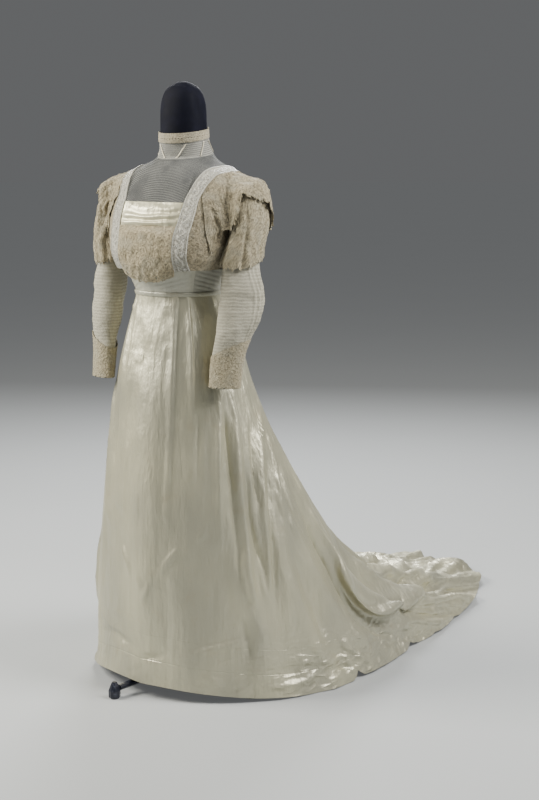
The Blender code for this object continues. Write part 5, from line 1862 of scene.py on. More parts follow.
    def cuff(self) -> Wall:
        """The left lace cuff: its upper edge rises to a point on the outside, its wrist edge is scalloped."""
        rows, sides = self.cuff_grid
        turn = np.linspace(-180, 180, sides + 1)[:-1]
        start = 9.92 - 0.85 * (np.cos(np.radians(turn - 20)) + 1) / 2
        start = start + 0.05 * np.abs(np.sin(np.radians(turn) * 7))
        row = start + (self.last_row - 0.02 - start) * np.linspace(0, 1, rows)[:, None]
        grid = self.surface(turn, row)
        side = -normals(grid, True)
        relief = 0.5 * MM * (1 + soft_noise(grid, 0.010, 17))
        inner = grid + side * (NET_THICK + self.tuck_depth + 0.5 * MM + relief)[..., None]
        cloth = Wall(inner, inner + side * LACE_THICK, True)
        return laced(cloth, LacePattern(9 * MM, 19), relief=0.6 * MM, edge=1.6 * MM)

    def lace_hem(self, turn: Array) -> Array:
        """Row of the lace sleeve's edge: lowest at the front, scalloped."""
        return 5.68 + 0.24 * np.cos(np.radians(turn + 80)) + 0.10 * np.abs(np.sin(np.radians(turn) * 6))

    def lace_height(self, turn: Array, row: Array) -> Array:
        """How far the lace sleeve stands off the net one: high between valleys of uneven width and depth.

        Args:
            turn: Angles round the arm.
            row: Rows down the sleeve.

        Returns:
            The height at each place.
        """
        share = np.clip((row - self.lace_top) / (self.lace_hem(turn) - self.lace_top), 0, 1)
        valley = sum(depth * bell(turn - at - 6 * (share - 0.5), half) for at, half, depth in self.lace_folds)
        start = self.sewn_on + (self.lace_lift - self.sewn_on) * ease(share / 0.14)
        return start + self.lace_swell * (1 - np.clip(valley, 0, 1)) * ease(share * 1.6 + 0.05)

    def lace_sleeve(self) -> Wall:
        """The left lace sleeve, open under the arm."""
        rows, columns = self.lace_grid
        turn = np.linspace(-145, 145, columns)
        share = np.linspace(0, 1, rows)[:, None]
        row = self.lace_top + (self.lace_hem(turn) - self.lace_top) * share
        grid = self.surface(turn, row)
        side = -normals(grid)
        rough = 2.0 * MM * soft_noise(grid, 0.010, 23, (1, 1, 0.5)) * ease(share * 3)
        inner = grid + side * (self.lace_height(turn, row) + rough)[..., None]
        cloth = Wall(inner, inner + side * LACE_THICK)
        return laced(cloth, LacePattern(14 * MM, 7), holes=0.16, edge=5.0 * MM, seed=3)

    def cape_net(self) -> tuple[Array, Array]:
        """Coarse points of the left cape's inner face and its outward directions: seven rows of columns."""
        turns = np.array(self.cape_turn)
        along = np.clip(turns / abs(turns[0]) * self.cape_reach, -self.cape_reach, self.cape_reach)
        first, first_z = strap_edge(STRAP_OUTER, along)
        arm_z = ARMHOLE.z + (ARMHOLE.high + ARMHOLE.clear_high) * np.cos(np.radians(turns))
        arm_y = ARMHOLE.y + (ARMHOLE.deep + ARMHOLE.clear_deep) * np.sin(np.radians(turns))
        arm = BODY.angle_of_y(arm_y, arm_z)
        to_front = ease((-76.0 - turns) / 22)
        share = np.array(self.cape_on_body)[:, None] * (1 - 0.2 * to_front)
        across, down = first + (arm - first) * share, first_z + (arm_z - first_z) * share
        off = np.repeat(np.array(self.cape_off_body)[:, None] * MM, len(turns), axis=1)
        drop = np.array(self.cape_front_share)
        hanging, outside = [], []
        for k, (end_y, end_z) in enumerate(self.cape_front):
            z = first_z[k] + (end_z - first_z[k]) * drop
            angle = first[k] + (BODY.angle_of_y(end_y, end_z) - first[k]) * drop
            rise = 3.5 * MM + (2.6 * MM + blouse(z, 0.75)) * ease(drop * 5)
            across[:, k], down[:, k], off[:, k] = angle[:3], z[:3], rise[:3]
            spots, outward = BODY.frame(angle, z)
            hanging.append((spots + outward * rise[:, None])[3:])
            outside.append(outward[3:])

        part = np.array(self.cape_on_sleeve)[:, None]
        hem = smooth_curve(column(self.cape_hem, 0), column(self.cape_hem, 1), turns)
        hem = hem + 0.10 * np.abs(np.sin(np.radians(turns) * 7))
        begin = self.cape_first_row + 0.9 * to_front
        row = begin + (hem - begin) * part
        on_sleeve = self.surface(turns, row)
        side = -normals(on_sleeve)
        mesh_turn = np.broadcast_to(turns, row.shape)
        under = np.where(row > self.lace_top - 0.3, self.lace_lift + self.lace_swell
                         + LACE_THICK + 0.4 * self.cape_clear, 0)
        lift = np.maximum(self.cape_lift, under)
        lift = lift + self.cape_swell * (0.5 + 0.5 * np.sin(np.radians(mesh_turn) * 5)) * ease(part * 1.4)
        lower = on_sleeve + side * lift[..., None]
        last = len(self.cape_front)
        lower[:, :last], side[:, :last] = np.stack(hanging, axis=1), np.stack(outside, axis=1)
        across, down, off, lower, side = (
            self.joined(table, last) for table in (across, down, off, lower, side))
        on_body, outward = BODY.frame(across, down)
        inner = np.concatenate([on_body + outward * off[..., None], lower])
        facing = np.concatenate([outward, side])
        facing[2] = facing[2] + facing[3]
        return inner, unit(facing)

    def joined(self, table: Array, last: int) -> Array:
        """The table with columns added between its front columns and the rest.

        Args:
            table: Numbers or points, rows first.
            last: How many front columns there are.

        Returns:
            The wider table.
        """
        before, after = table[:, last - 1], table[:, last]
        added = [before + (after - before) * share for share in self.cape_join]
        return np.concatenate([table[:, :last], np.stack(added, axis=1), table[:, last:]], axis=1)

    def cape(self) -> Wall:
        """The left shoulder cape: the coarse net made fine, with creases, raised flowers and a torn edge."""
        inner, facing = self.cape_net()
        grid, side = refined(inner, *self.cape_grid), unit(refined(facing, *self.cape_grid))
        down, over = np.meshgrid(*(np.linspace(0, 1, count) for count in self.cape_grid), indexing="ij")
        free = ease(down / 0.2)
        rough = 2.3 * MM * soft_noise(grid, 0.014, 31) + 1.3 * MM * soft_noise(grid, 0.006, 32)
        folds = 1.6 * MM * np.sin(over * 46 + 2.0 * np.sin(over * 9)) * ease((down - 0.25) / 0.5)
        curl = self.cape_curl * (0.6 + 0.6 * soft_noise(grid, 0.018, 33)) * ease((down - 0.78) / 0.22)
        grid = grid + side * ((rough + folds) * free + curl)[..., None]
        cloth = Wall(grid, grid + side * LACE_THICK)
        return laced(cloth, LacePattern(14 * MM, 13), relief=0.7 * MM, holes=0.12, edge=7.0 * MM, seed=41)

    def build(self) -> None:
        """Builds and dresses every piece on both sides."""
        net, cuff_lace = self.net_finish.material("sleeve_net"), self.cuff_finish.material("cuff_lace")
        lace, cape_lace = self.lace_finish.material("sleeve_lace"), self.cape_finish.material("cape_lace")
        sewn_twice("sleeve", self.net(), net, Slot.NET, Held.HUNG, "form_torso")
        sewn_twice("cuff", self.cuff(), cuff_lace, Slot.LACE, Held.HUNG, "sleeve_{}")
        sewn_twice("lace_tier_lower", self.lace_sleeve(), lace, Slot.LACE, Held.HUNG, "sleeve_{}")
        sewn_twice("lace_tier_upper", self.cape(), cape_lace, Slot.LACE, Held.HUNG, "strap_{}")


# The skirt with its train


@dataclass(frozen=True)
class Crease:
    """A soft ridge or trough laid on the skirt.

    Attributes:
        path: Angle, share of the length from waist to hem, and height in millimetres at the points it runs
            through; the height is under 0 in a trough.
        wide: Width in millimetres on its left and on its right, seen from outside with the path running down.
        lean: How far its crest falls over to its left, in parts of its height.
    """

    path: tuple[tuple[float, float, float], ...]
    wide: tuple[float, float]
    lean: float = 0.0

    def on_other_side(self, turn: float, drop: float, size: float) -> "Crease":
        """The same crease on the gown's other side, moved a little so that the two sides differ."""
        path = tuple((-angle + turn, min(share + drop, 0.999), rise * size)
                     for angle, share, rise in self.path)
        return Crease(path, self.wide[::-1], -self.lean)


# Smaller ridges and troughs, each with its path, widths and lean as in Crease
CREASES = tuple(Crease(*row) for row in (
    (((30.9, 0, 2.8), (24.7, 0.084, 5.6), (21.8, 0.19, 5.6), (18.8, 0.31, 4.2), (15.8, 0.464, 3.5),
     (13.6, 0.614, 0)), (12, 3)),
    (((46.6, 0.007, 2.8), (42.6, 0.075, 5.6), (39.8, 0.16, 7), (37.8, 0.221, 5.6), (33.7, 0.306, 0)),
     (10, 3)),
    (((13.6, 0.164, 0), (10.6, 0.266, 4), (7.6, 0.39, 7), (6.8, 0.523, 8), (6.1, 0.676, 7), (5.3, 0.806, 3),
     (4.6, 0.91, 0)), (45, 28)),
    (((-51.6, 0.335, 0), (-40.7, 0.492, 3), (-38.7, 0.652, 4), (-40.7, 0.82, 3), (-40.7, 0.933, 0)),
     (30, 20)),
    (((41.2, 0.268, 0), (37.8, 0.328, -4.5), (34.4, 0.408, -3), (30.9, 0.506, 0)), (7, 9)),
    (((63.4, 0.239, 1.5), (56.1, 0.301, 7.5), (50, 0.378, 8.2), (46.6, 0.452, 6), (42.6, 0.549, 3),
     (39.8, 0.65, 0)), (12, 6)),
    (((63.4, 0.255, 0), (58.1, 0.337, -7.5), (54.7, 0.426, -9), (51.4, 0.522, -6.8), (48.7, 0.632, -4.5),
     (46, 0.745, 0)), (7, 7)),
    (((74.5, 0.237, 3), (65.4, 0.351, 9), (58.1, 0.472, 10.5), (54.1, 0.608, 10.5), (51.4, 0.709, 7.5),
     (51.4, 0.77, 0)), (9, 11)),
    (((66.1, 0.399, 0), (62.7, 0.478, -7.5), (59.4, 0.565, -10.5), (59.4, 0.629, -9), (58.7, 0.688, -4.5),
     (56.7, 0.747, 0)), (6, 8)),
    (((87.7, 0.293, 0), (77.7, 0.363, -6), (69.4, 0.461, -7.5), (66.1, 0.525, 0)), (5, 6)),
    (((111.5, 0.209, 3), (89, 0.352, 9), (73.9, 0.475, 9), (67.4, 0.576, 7.5), (63.4, 0.661, 9),
     (59.4, 0.747, 0)), (9, 5)),
    (((89, 0.392, 0), (80.2, 0.466, -7.5), (72.6, 0.553, -9), (66.7, 0.654, -7.5), (62.7, 0.723, -3),
     (59.4, 0.803, 0)), (6, 9)),
    (((101.8, 0.308, 3), (92.7, 0.412, 7.5), (84, 0.52, 7.5), (77, 0.609, 4.5), (72, 0.678, 0)), (8, 9)),
    (((99.8, 0.358, 0), (93.9, 0.45, -9), (91.9, 0.523, -9), (92.5, 0.58, -4.5), (93.9, 0.616, 0)), (6, 7)),
    (((53.4, 0.608, 0), (50.7, 0.672, 7.5), (50.7, 0.726, 9), (51.4, 0.765, 4.5), (52, 0.809, 0)), (7, 12)),
    (((58.7, 0.629, 0), (58.7, 0.675, 6), (57.4, 0.724, 6), (57.4, 0.758, 0)), (6, 6)),
    (((78.3, 0.609, 0), (80.2, 0.663, -5), (80.8, 0.724, -8), (80.8, 0.798, -8), (79.6, 0.863, -5),
     (80.2, 0.897, 0)), (22, 16)),
    (((71.3, 0.652, 0), (68, 0.727, 4), (64.7, 0.806, 4), (61.4, 0.882, 0)), (16, 16)),
    (((43.2, 0.792, 0), (43.9, 0.829, -7.5), (43.9, 0.861, -7.5), (43.2, 0.911, 0)), (8, 16)),
    (((48, 0.75, 0), (49.3, 0.79, 6), (50.7, 0.835, 6), (51.4, 0.864, 0)), (10, 12)),
    (((9.8, 0.718, 0), (12.8, 0.681, 5.6), (16.6, 0.655, 7), (20.3, 0.632, 0)), (4, 7)),
    (((28.9, 0.613, 0), (32.3, 0.591, 4.2), (36.4, 0.574, 0)), (4, 6)),
    (((0.1, 0.792, 0), (3.1, 0.757, 4.9), (6.1, 0.724, 0)), (5, 6)),
    (((-3.6, 0.715, 0), (-0.8, 0.736, 4.2), (0.8, 0.767, 0)), (5, 5)),
    (((21.8, 0.332, 0), (26.1, 0.324, 3), (31.6, 0.307, 0)), (4, 4)),
    (((84, 0.543, 0), (85.9, 0.584, 4), (86.5, 0.628, 0)), (4, 5)),
    (((90, 0.554, 0), (92.1, 0.568, 3), (93, 0.604, 0)), (4, 4)),
    (((80.2, 0.623, 0), (84, 0.655, 4), (87.1, 0.693, 0)), (5, 5)),
    (((-28.3, 0.549, 0), (-23.1, 0.575, -4), (-14.4, 0.585, 0)), (8, 8)),
    (((6.1, 0.102, 0), (14.3, 0.093, 4.2), (21.8, 0.092, 0)), (5, 4)),
    (((8.3, 0.034, 0), (18.1, 0.034, 4.9), (27.5, 0.026, 0)), (6, 4)),
    (((-50.6, 0.026, 0), (-40.7, 0.034, 4.2), (-27.2, 0.05, 0)), (5, 5)),
    (((9.1, 0.147, 0), (15.8, 0.138, 3.5), (23.3, 0.138, 0)), (5, 4)),
    (((87.7, 0, 0), (90.9, 0.024, 3.5), (85.2, 0.056, 0)), (5, 5)),
    (((-31.5, 0.156, 0), (-20.6, 0.157, 2.5), (-11.7, 0.165, 0)), (5, 4)),
    (((-39.7, 0.904, 0), (-22.3, 0.895, -6), (-11.7, 0.906, -7), (-4.5, 0.916, -3), (-0.8, 0.922, 0)),
     (14, 9)),
    (((0.1, 0.918, 0), (3.8, 0.929, -5), (9.1, 0.918, -3), (12.8, 0.913, 0)), (9, 9)),
    (((19.6, 0.907, 0), (26.8, 0.886, 4), (35.1, 0.87, 5), (40.5, 0.858, 3), (46, 0.853, 0)), (8, 6)),
    (((-28.3, 0.831, 0), (-17.1, 0.837, 3), (-8.1, 0.842, 2.5), (1.6, 0.84, 0)), (6, 6)),
    (((24, 0.956, 0), (28.2, 0.962, 4), (33, 0.967, 0)), (10, 10)),
    (((42.6, 0.911, 0), (43.9, 0.938, 5), (46, 0.964, 0)), (9, 9)),
    (((62.7, 0.916, 0), (67.4, 0.916, 6), (71.3, 0.925, 4), (78.3, 0.93, 6), (84.6, 0.929, 4),
     (88.4, 0.929, 0)), (7, 9)),
    (((85.9, 0.877, 0), (87.7, 0.91, 6), (90, 0.931, 5), (90.4, 0.958, 6), (90.8, 0.984, 0)), (8, 7)),
    (((85.2, 0.923, 0), (84.6, 0.954, 6), (84.6, 0.978, 5), (85.9, 1, 0)), (7, 8)),
    (((45.3, 0.98, 0), (53.4, 0.968, 5), (62.1, 0.964, 7), (70, 0.95, 4), (77, 0.952, 0)), (12, 9)),
    (((68.7, 0.955, 0), (74.5, 0.952, -6), (82.1, 0.959, -5), (86.5, 0.963, 0)), (8, 8)),
    (((94.3, 0.87, 0), (93, 0.913, 5), (92.1, 0.937, 0)), (6, 6)),
    (((97.1, 0.905, 0), (95.3, 0.949, 5), (93.4, 0.963, 0)), (6, 6)),
    (((91.9, 0.847, 0), (91.9, 0.868, 5), (92.3, 0.887, 0)), (7, 6)),
    (((84.6, 0.845, 0), (86.5, 0.881, 4), (89, 0.919, 0)), (6, 8)),
    (((101.8, 0.412, -4), (102.1, 0.478, -10), (100.7, 0.548, -14), (100.7, 0.608, -16), (98.7, 0.669, -17),
     (97.4, 0.724, -18), (96.6, 0.776, -14), (97.1, 0.819, -10), (98.4, 0.866, -6), (101.8, 0.894, 0)),
     (6, 8)),
    (((111.9, 0.405, 4), (109.5, 0.484, 11), (108.2, 0.56, 20), (104.8, 0.631, 29), (103.6, 0.689, 34),
     (104.8, 0.728, 36), (109.2, 0.747, 33), (118.6, 0.755, 26), (124.8, 0.767, 17), (144, 0.796, 0)),
     (16, 34), 0.75),
    (((104.2, 0.655, 0), (104.5, 0.679, -9), (105.4, 0.706, -12), (108.2, 0.72, -12), (116.1, 0.728, -9),
     (120.9, 0.745, 0)), (6, 8)),
    (((118.2, 0.582, 0), (124.8, 0.582, 8), (202.7, 0.994, 14), (187.1, 0.883, 16)), (16, 18)),
    (((117.1, 0.602, 0), (144, 0.598, -8), (187.1, 0.883, -10), (187.6, 0.948, -10)), (7, 9)),
    (((117.5, 0.611, 0), (123.6, 0.618, 6), (145.7, 0.655, 12), (181.7, 0.921, 16), (182.5, 1, 20)),
     (14, 20)),
    (((119, 0.667, 0), (142.4, 0.7, 10), (147.4, 0.776, 14), (165.3, 0.884, 14), (165.3, 0.909, 12)),
     (5, 14)),
    (((119, 0.694, 0), (142.8, 0.712, -9), (163.8, 0.832, -12), (165.8, 0.903, -10), (164.3, 0.942, -6)),
     (6, 8)),
    (((123.2, 0.718, 0), (142, 0.754, 12), (145.7, 0.814, 15), (162.3, 0.929, 12), (163.3, 0.987, 8)),
     (16, 14)),
    (((126, 0.776, 0), (144, 0.809, -9), (147, 0.876, -11), (145.3, 0.945, -7)), (6, 9)),
    (((125.6, 0.801, 0), (126.7, 0.829, 9), (140.7, 0.866, 11), (141.1, 0.933, 9), (139.6, 0.994, 5)),
     (6, 13), 0.2),
    (((117.9, 0.801, 0), (121.3, 0.83, 7), (123.6, 0.866, 8), (126.3, 0.916, 8), (125.6, 0.962, 4)), (5, 10),
     0.3),
    (((105.7, 0.85, 0), (109.2, 0.876, 7), (109.5, 0.936, 7), (112.9, 0.981, 5), (117.5, 0.995, 0)), (5, 9),
     0.3),
    (((116.4, 0.859, 0), (118.6, 0.889, 5), (118.2, 0.949, 0)), (7, 7)),
    (((110.5, 0.821, 0), (116.4, 0.843, 5), (116.8, 0.897, 5), (120.5, 0.921, 0)), (4, 6), 0.2),
    (((119.7, 0.854, 0), (121.6, 0.897, 5), (120.9, 0.958, 5), (124, 0.973, 0)), (4, 6), 0.2),
    (((98.7, 0.86, 0), (102.4, 0.864, 7), (105.7, 0.874, 6), (105.7, 0.918, 0)), (9, 8)),
))


@dataclass
class Skirt:
    """Six gores that meet at their seams, cut from one surface of angles and rows.

    Attributes:
        table: Below the hips: height at front, side and back, half width on the left and on the right, where
            it is widest, front, back, roundness of the back outline.
        folds: The largest folds: centre angle at hip and hem, widths before and after it, height at the hem,
            share of the length where the fold starts.
        gores: Name, angles of the two seams and spaces between columns.
        hip_heights: Rows that follow the form; hip_ease is how far they stand off it.
        table_rows: Places in the table of the rows below them.
        creases: Smaller ridges and troughs.
        crumple: Height of the crumples on the floor.
    """

    table: tuple[tuple[float, ...], ...] = (
        (0.700, 0.700, 0.700, 0.194, 0.190, 0.020, -0.142, 0.200, 2.00),
        (0.600, 0.600, 0.600, 0.224, 0.216, 0.045, -0.151, 0.268, 2.00),
        (0.500, 0.500, 0.500, 0.252, 0.238, 0.070, -0.161, 0.338, 2.00),
        (0.400, 0.400, 0.400, 0.279, 0.256, 0.100, -0.169, 0.415, 2.00),
        (0.310, 0.300, 0.295, 0.305, 0.272, 0.130, -0.175, 0.510, 2.05),
        (0.228, 0.210, 0.190, 0.330, 0.284, 0.160, -0.178, 0.645, 2.15),
        (0.156, 0.130, 0.105, 0.352, 0.296, 0.190, -0.180, 0.825, 2.30),
        (0.100, 0.065, 0.048, 0.370, 0.306, 0.220, -0.182, 1.030, 2.45),
        (0.066, 0.026, 0.018, 0.382, 0.319, 0.240, -0.184, 1.220, 2.60),
        (0.036, 0.000, 0.000, 0.392, 0.334, 0.250, -0.188, 1.390, 2.65),
    )
    folds: tuple[tuple[float, ...], ...] = (
        (-150.0, -152.0, 5.0, 9.0, 0.050, 0.20),
        (-128.0, -131.0, 8.0, 5.0, 0.040, 0.25),
        (-104.0, -108.0, 6.0, 6.0, 0.026, 0.35),
        (-74.0, -79.0, 6.0, 7.0, 0.014, 0.45),
        (-42.0, -46.0, 7.0, 6.0, 0.010, 0.40),
        (16.0, 20.0, 6.0, 7.0, 0.008, 0.35),
        (44.0, 50.0, 6.0, 7.0, 0.010, 0.30),
        (66.0, 74.0, 4.0, 5.0, 0.016, 0.30),
        (84.0, 92.0, 4.0, 5.0, 0.020, 0.25),
        (104.0, 110.0, 5.0, 6.0, 0.026, 0.30),
        (122.0, 127.0, 9.0, 3.5, 0.046, 0.18),
        (146.0, 146.0, 4.0, 8.0, 0.056, 0.15),
        (168.0, 166.0, 6.0, 7.0, 0.046, 0.25),
        (-171.0, -172.0, 6.0, 5.0, 0.040, 0.30),
    )
    gores: tuple[tuple[str, float, float, int], ...] = (
        ("skirt_front", -24, 24, 48),
        ("skirt_side_front_left", 24, 72, 60),
        ("skirt_side_front_right", -72, -24, 40),
        ("skirt_side_back_left", 72, 126, 126),
        ("skirt_side_back_right", 234, 288, 96),
        ("skirt_back_train", 126, 234, 190),
    )
    rows: int = 122
    hem_lift: float = 0.052  # the hem hangs off the floor on the right of the front
    floor_share: float = 0.62  # folds that lie on the floor are flatter
    hip_heights: tuple[float, ...] = (WAIST, WAIST - 5.0 * MM, 0.970, 0.930, 0.870, 0.795)
    hip_ease: tuple[float, ...] = (0.0, 0.0, 0.5, 1.4, 3.0, 6.5)  # millimetres
    table_rows: tuple[float, ...] = (0.1, 1.6, 3.0, 4.0, 5.0, 5.8, 6.6, 7.4, 8.2, 9.0)
    notches: tuple[tuple[float, float, float], ...] = (  # angle, width, depth in millimetres
        (87.1, 4.5, 20), (99.3, 3.4, 26), (105.5, 2.5, 9), (114.0, 3.0, 12), (-84.0, 4.0, 18),
        (-101.0, 3.5, 24), (-118.0, 4.0, 14), (-141.0, 4.0, 18), (141.0, 3.0, 12), (166.0, 3.0, 10),
        (-173.0, 3.0, 14))
    crumple: float = 4.5 * MM
    creases: tuple[Crease, ...] = CREASES

    def point(self, angle: Array, row: Array) -> Array:
        """Points of the plain shape below the hips: two half outlines joined at the widest line.

        Args:
            angle: Angles round the body.
            row: Place in the table.

        Returns:
            The points.
        """
        turn, knots = np.radians(angle), np.arange(len(self.table))
        c, s = np.cos(turn), np.sin(turn)
        z_front, z_side, z_back, left, right, middle, front, back, round_back = (
            smooth_curve(knots, column(self.table, k), row) for k in range(9))
        exponent = np.where(c > 0, 1.0, 2 / round_back)
        x = np.where(s > 0, left, right) * power(s, exponent)
        y = np.where(c > 0, middle - (middle - front) * power(c, exponent),
                     middle + (back - middle) * power(-c, exponent))
        z = z_side + np.where(c > 0, (z_front - z_side) * c ** 4, (z_back - z_side) * c ** 2)
        off_floor = np.where((s < 0) & (c > 0), -s * c ** 4, 0.0) * self.hem_lift * ease((row - 6) / 3)
        return xyz(x, y, z + off_floor)

    def largest_folds(self, angle: Array, share: Array) -> Array:
        """Height of the largest folds: at each place the highest of their soft bumps.

        Args:
            angle: Angles round the body.
            share: Shares of the length from waist to hem.

        Returns:
            The height at each place.
        """
        total = np.zeros(np.broadcast(angle, share).shape)
        for hip, hem, before, after, height, start in self.folds:
            away = (angle - hip - (hem - hip) * share + 180) % 360 - 180
            growth = ease((share - start) / (1.05 - start)) ** 1.1
            total = np.maximum(total, height * bell(away, np.where(away < 0, before, after)) * growth)
        return total

    def columns(self, first: float, last: float, count: int) -> Array:
        """Angles between two seams, evenly spaced along the lower skirt.

        Args:
            first: Angle of the first seam.
            last: Angle of the second.
            count: How many angles, both seams included.

        Returns:
            The angles.
        """
        dense = np.linspace(first, last, 400)
        line = self.point(dense, np.full(len(dense), 7.0))[None]
        return even_places(dense, lengths(line, 1)[0], count)

    def surface(self) -> tuple[Array, Array, Array, Array]:
        """The whole skirt.

        Returns:
            Angles of its columns, shares of the length at its points, inner points and outward directions.
        """
        spans = [self.columns(first, last, count) for _, first, last, count in
                 sorted(self.gores, key=lambda gore: gore[1])]
        angles = np.concatenate([span[:-1] for span in spans])
        knots = []
        for z, loose in zip(self.hip_heights, self.hip_ease):
            spots, outward = BODY.frame(angles, np.full(len(angles), z))
            knots.append(spots + outward * (ON_FORM + loose * MM))
        knots += [self.point(angles, np.full(len(angles), row)) for row in self.table_rows]
        plain = np.stack(knots)
        travelled = lengths(plain, 0)
        typical = 0.5 * travelled.mean(axis=1) + 0.5 * travelled[:, np.argmin(np.abs(angles - 180))]
        places = even_places(np.arange(len(plain)), typical, self.rows)
        grid = smooth_curve(np.arange(len(plain)), plain, np.repeat(places[:, None], len(angles), axis=1))
        length = lengths(grid, 0)
        share = length / length[-1]
        side = -normals(grid, True)
        on_floor = ease((0.10 - grid[..., 2]) / 0.08)
        lift = self.largest_folds(angles, share) * (1 - (1 - self.floor_share) * on_floor)
        lift = lift * (1 - 0.3 * ease((share - 0.93) / 0.07))
        grid = grid + side * lift[..., None]
        side = -normals(grid, True)
        grid = self.laid(grid, angles, share)
        for at, half, depth in self.notches:
            notch = np.abs((angles - at + 180) % 360 - 180) / half
            pull = depth * MM * np.exp(-3.0 * np.sqrt(notch ** 2 + 0.002)) * ease((share - 0.94) / 0.06)
            grid = grid + unit(grid[-2] - grid[-1]) * pull[..., None]
            grid[..., 2] += 0.35 * pull
        side = -normals(grid, True)
        grid = grid + side * self.crumples(angles, share, grid)[..., None]
        side = -normals(grid, True)
        _, outward = BODY.frame(angles, np.full(len(angles), WAIST))
        side[0] = outward
        return angles, share, grid, side

    def laid(self, grid: Array, angles: Array, share: Array) -> Array:
        """The skirt with the creases laid on it, on both sides.

        Args:
            grid: The skirt with its largest folds.
            angles: Angles of the columns.
            share: Share of the length at each point.

        Returns:
            The moved points.
        """
        side = -normals(grid, True)
        move = np.zeros_like(grid)
        other = [crease.on_other_side((-2.5, 1.5, 3.0)[k % 3], (0.02, -0.01)[k % 2], (0.9, 0.7, 1.1)[k % 3])
                 for k, crease in enumerate(self.creases) if crease.path[0][0] > 8]
        for crease in (*self.creases, *other):
            self.crease(crease, grid, angles, share, side, move)
        return grid + move

    @staticmethod
    def crease(crease: Crease, grid: Array, angles: Array, share: Array, side: Array, move: Array) -> None:
        """Adds one crease: its height times exp(-r^1.7), with r the distance from its line over its width.

        Args:
            crease: The crease.
            grid: Points of the skirt.
            angles: Angles of the columns.
            share: Share of the length at each point.
            side: Outward directions.
            move: How far each point moves, which is added to.
        """
        path = np.array(crease.path, float)
        knots, along = np.arange(len(path)), np.linspace(0, len(path) - 1, 6 * len(path))
        turn, part, rise = (smooth_curve(knots, path[:, k], along) for k in range(3))
        over = np.interp((turn - angles[0]) % 360 + angles[0], angles, np.arange(len(angles)))
        j = np.clip(over.astype(int), 0, len(angles) - 2)
        down = np.array([np.interp(p, share[:, c], np.arange(len(share))) for c, p in zip(j, part)])
        line = between(grid, down, over)
        reach = 2.6 * max(crease.wide) * MM
        near = np.all((grid > line.min(axis=0) - reach) & (grid < line.max(axis=0) + reach), axis=-1)
        spots, step = grid[near], np.diff(line, axis=0)
        gap = spots[:, None] - line[:-1]
        ahead = np.clip(np.einsum("ijk,jk->ij", gap, step) / np.maximum((step ** 2).sum(axis=1), 1e-12), 0, 1)
        away = gap - ahead[..., None] * step
        distance = np.linalg.norm(away, axis=-1)
        k = distance.argmin(axis=1)
        pick = np.arange(len(k))
        aside = unit(np.cross(side[near], step[k]))
        on_right = (aside * away[pick, k]).sum(axis=-1) > 0
        width = np.where(on_right, crease.wide[1], crease.wide[0]) * MM
        ratio = np.sqrt((distance[pick, k] / width) ** 2 + 0.02)
        height = np.interp(k + ahead[pick, k], np.arange(len(line)), rise) * MM * np.exp(0.04 - ratio ** 1.7)
        move[near] += side[near] * height[:, None] - aside * (crease.lean * height)[:, None]

    def crumples(self, angles: Array, share: Array, grid: Array) -> Array:
        """Height of the small crumples where the cloth meets the floor, and fainter ones higher up.

        The ridges of a crumple follow the lines where a noise is 0: 1 - 2 |noise|.

        Args:
            angles: Angles of the columns.
            share: Share of the length at each point.
            grid: The skirt with its folds.

        Returns:
            The height at each point.
        """
        low = ease((0.20 - grid[..., 2]) / 0.14)
        turn = np.abs((angles + 180) % 360 - 180)
        behind, train = ease((turn - 34) / 36), ease((turn - 96) / 20)
        hem = ease((share - 0.74) / 0.2)
        coarse = 1 - 2 * np.abs(soft_noise(grid, 0.075, 51))
        fine = 1 - 2 * np.abs(soft_noise(grid, 0.036, 52))
        on_floor = low * (0.2 + 0.8 * behind) * (0.35 + 0.65 * hem) * (1 - 0.45 * train)
        way = np.dstack([turn + 0 * share, 0 * share, 0 * share + np.sign(angles)])
        down = np.dstack([0 * share, share, 0 * share])
        long = 1 - 2 * np.abs(soft_noise(way + 16 * down, 3.4, 56))
        streak = soft_noise(way + 9 * down, 2.6, 54) + 0.6 * soft_noise(way + 14 * down, 1.3, 55)
        hung = ease((turn - 38) / 25) * ease((share - 0.1) / 0.15) * ease((0.9 - share) / 0.3)
        front = ease((share - 0.08) / 0.2) * (1 - 0.6 * hem)
        drawn = soft_noise(grid, 0.040, 53, (1, 1, 0.14))
        return (self.crumple * (coarse + 0.45 * fine) * on_floor + 2.4 * MM * long * low * train
                + 2.0 * MM * drawn * front + 1.1 * MM * streak * hung)

    def build(self) -> None:
        """Builds and dresses the six gores."""
        angles, _, inner, side = self.surface()
        satin = Satin().material("skirt_satin", lined=True)
        from_hem = lengths(inner, 0)
        from_hem = (from_hem[-1] - from_hem) / MM
        turn = np.abs((angles + 180) % 360 - 180)
        crush = 0.05 + 0.95 * ease((0.20 - inner[..., 2]) / 0.14) * (0.15 + 0.85 * ease((turn - 32) / 36))
        crush = crush * (1 - 0.25 * ease((turn - 96) / 20))
        for name, first, last, _ in self.gores:
            picks = np.flatnonzero((angles >= first - 1e-6) & (angles <= last + 1e-6))
            if last == angles[0] + 360:  # its last seam is the first column of all
                picks = np.append(picks, 0)
            low = drawn_in(inner[:, picks], 0.05 * MM)
            across = lengths(low, 1)
            seam = np.minimum(across, across[:, -1:] - across) / MM
            wall = Wall(low, low + side[:, picks] * SATIN_THICK, marks={
                "seam": seam, "hem": from_hem[:, picks], "crush": crush[:, picks]})
            sewn(name, wall, satin, Slot.SATIN, Held.HUNG, "form_torso", "waist_piping")


# The studio


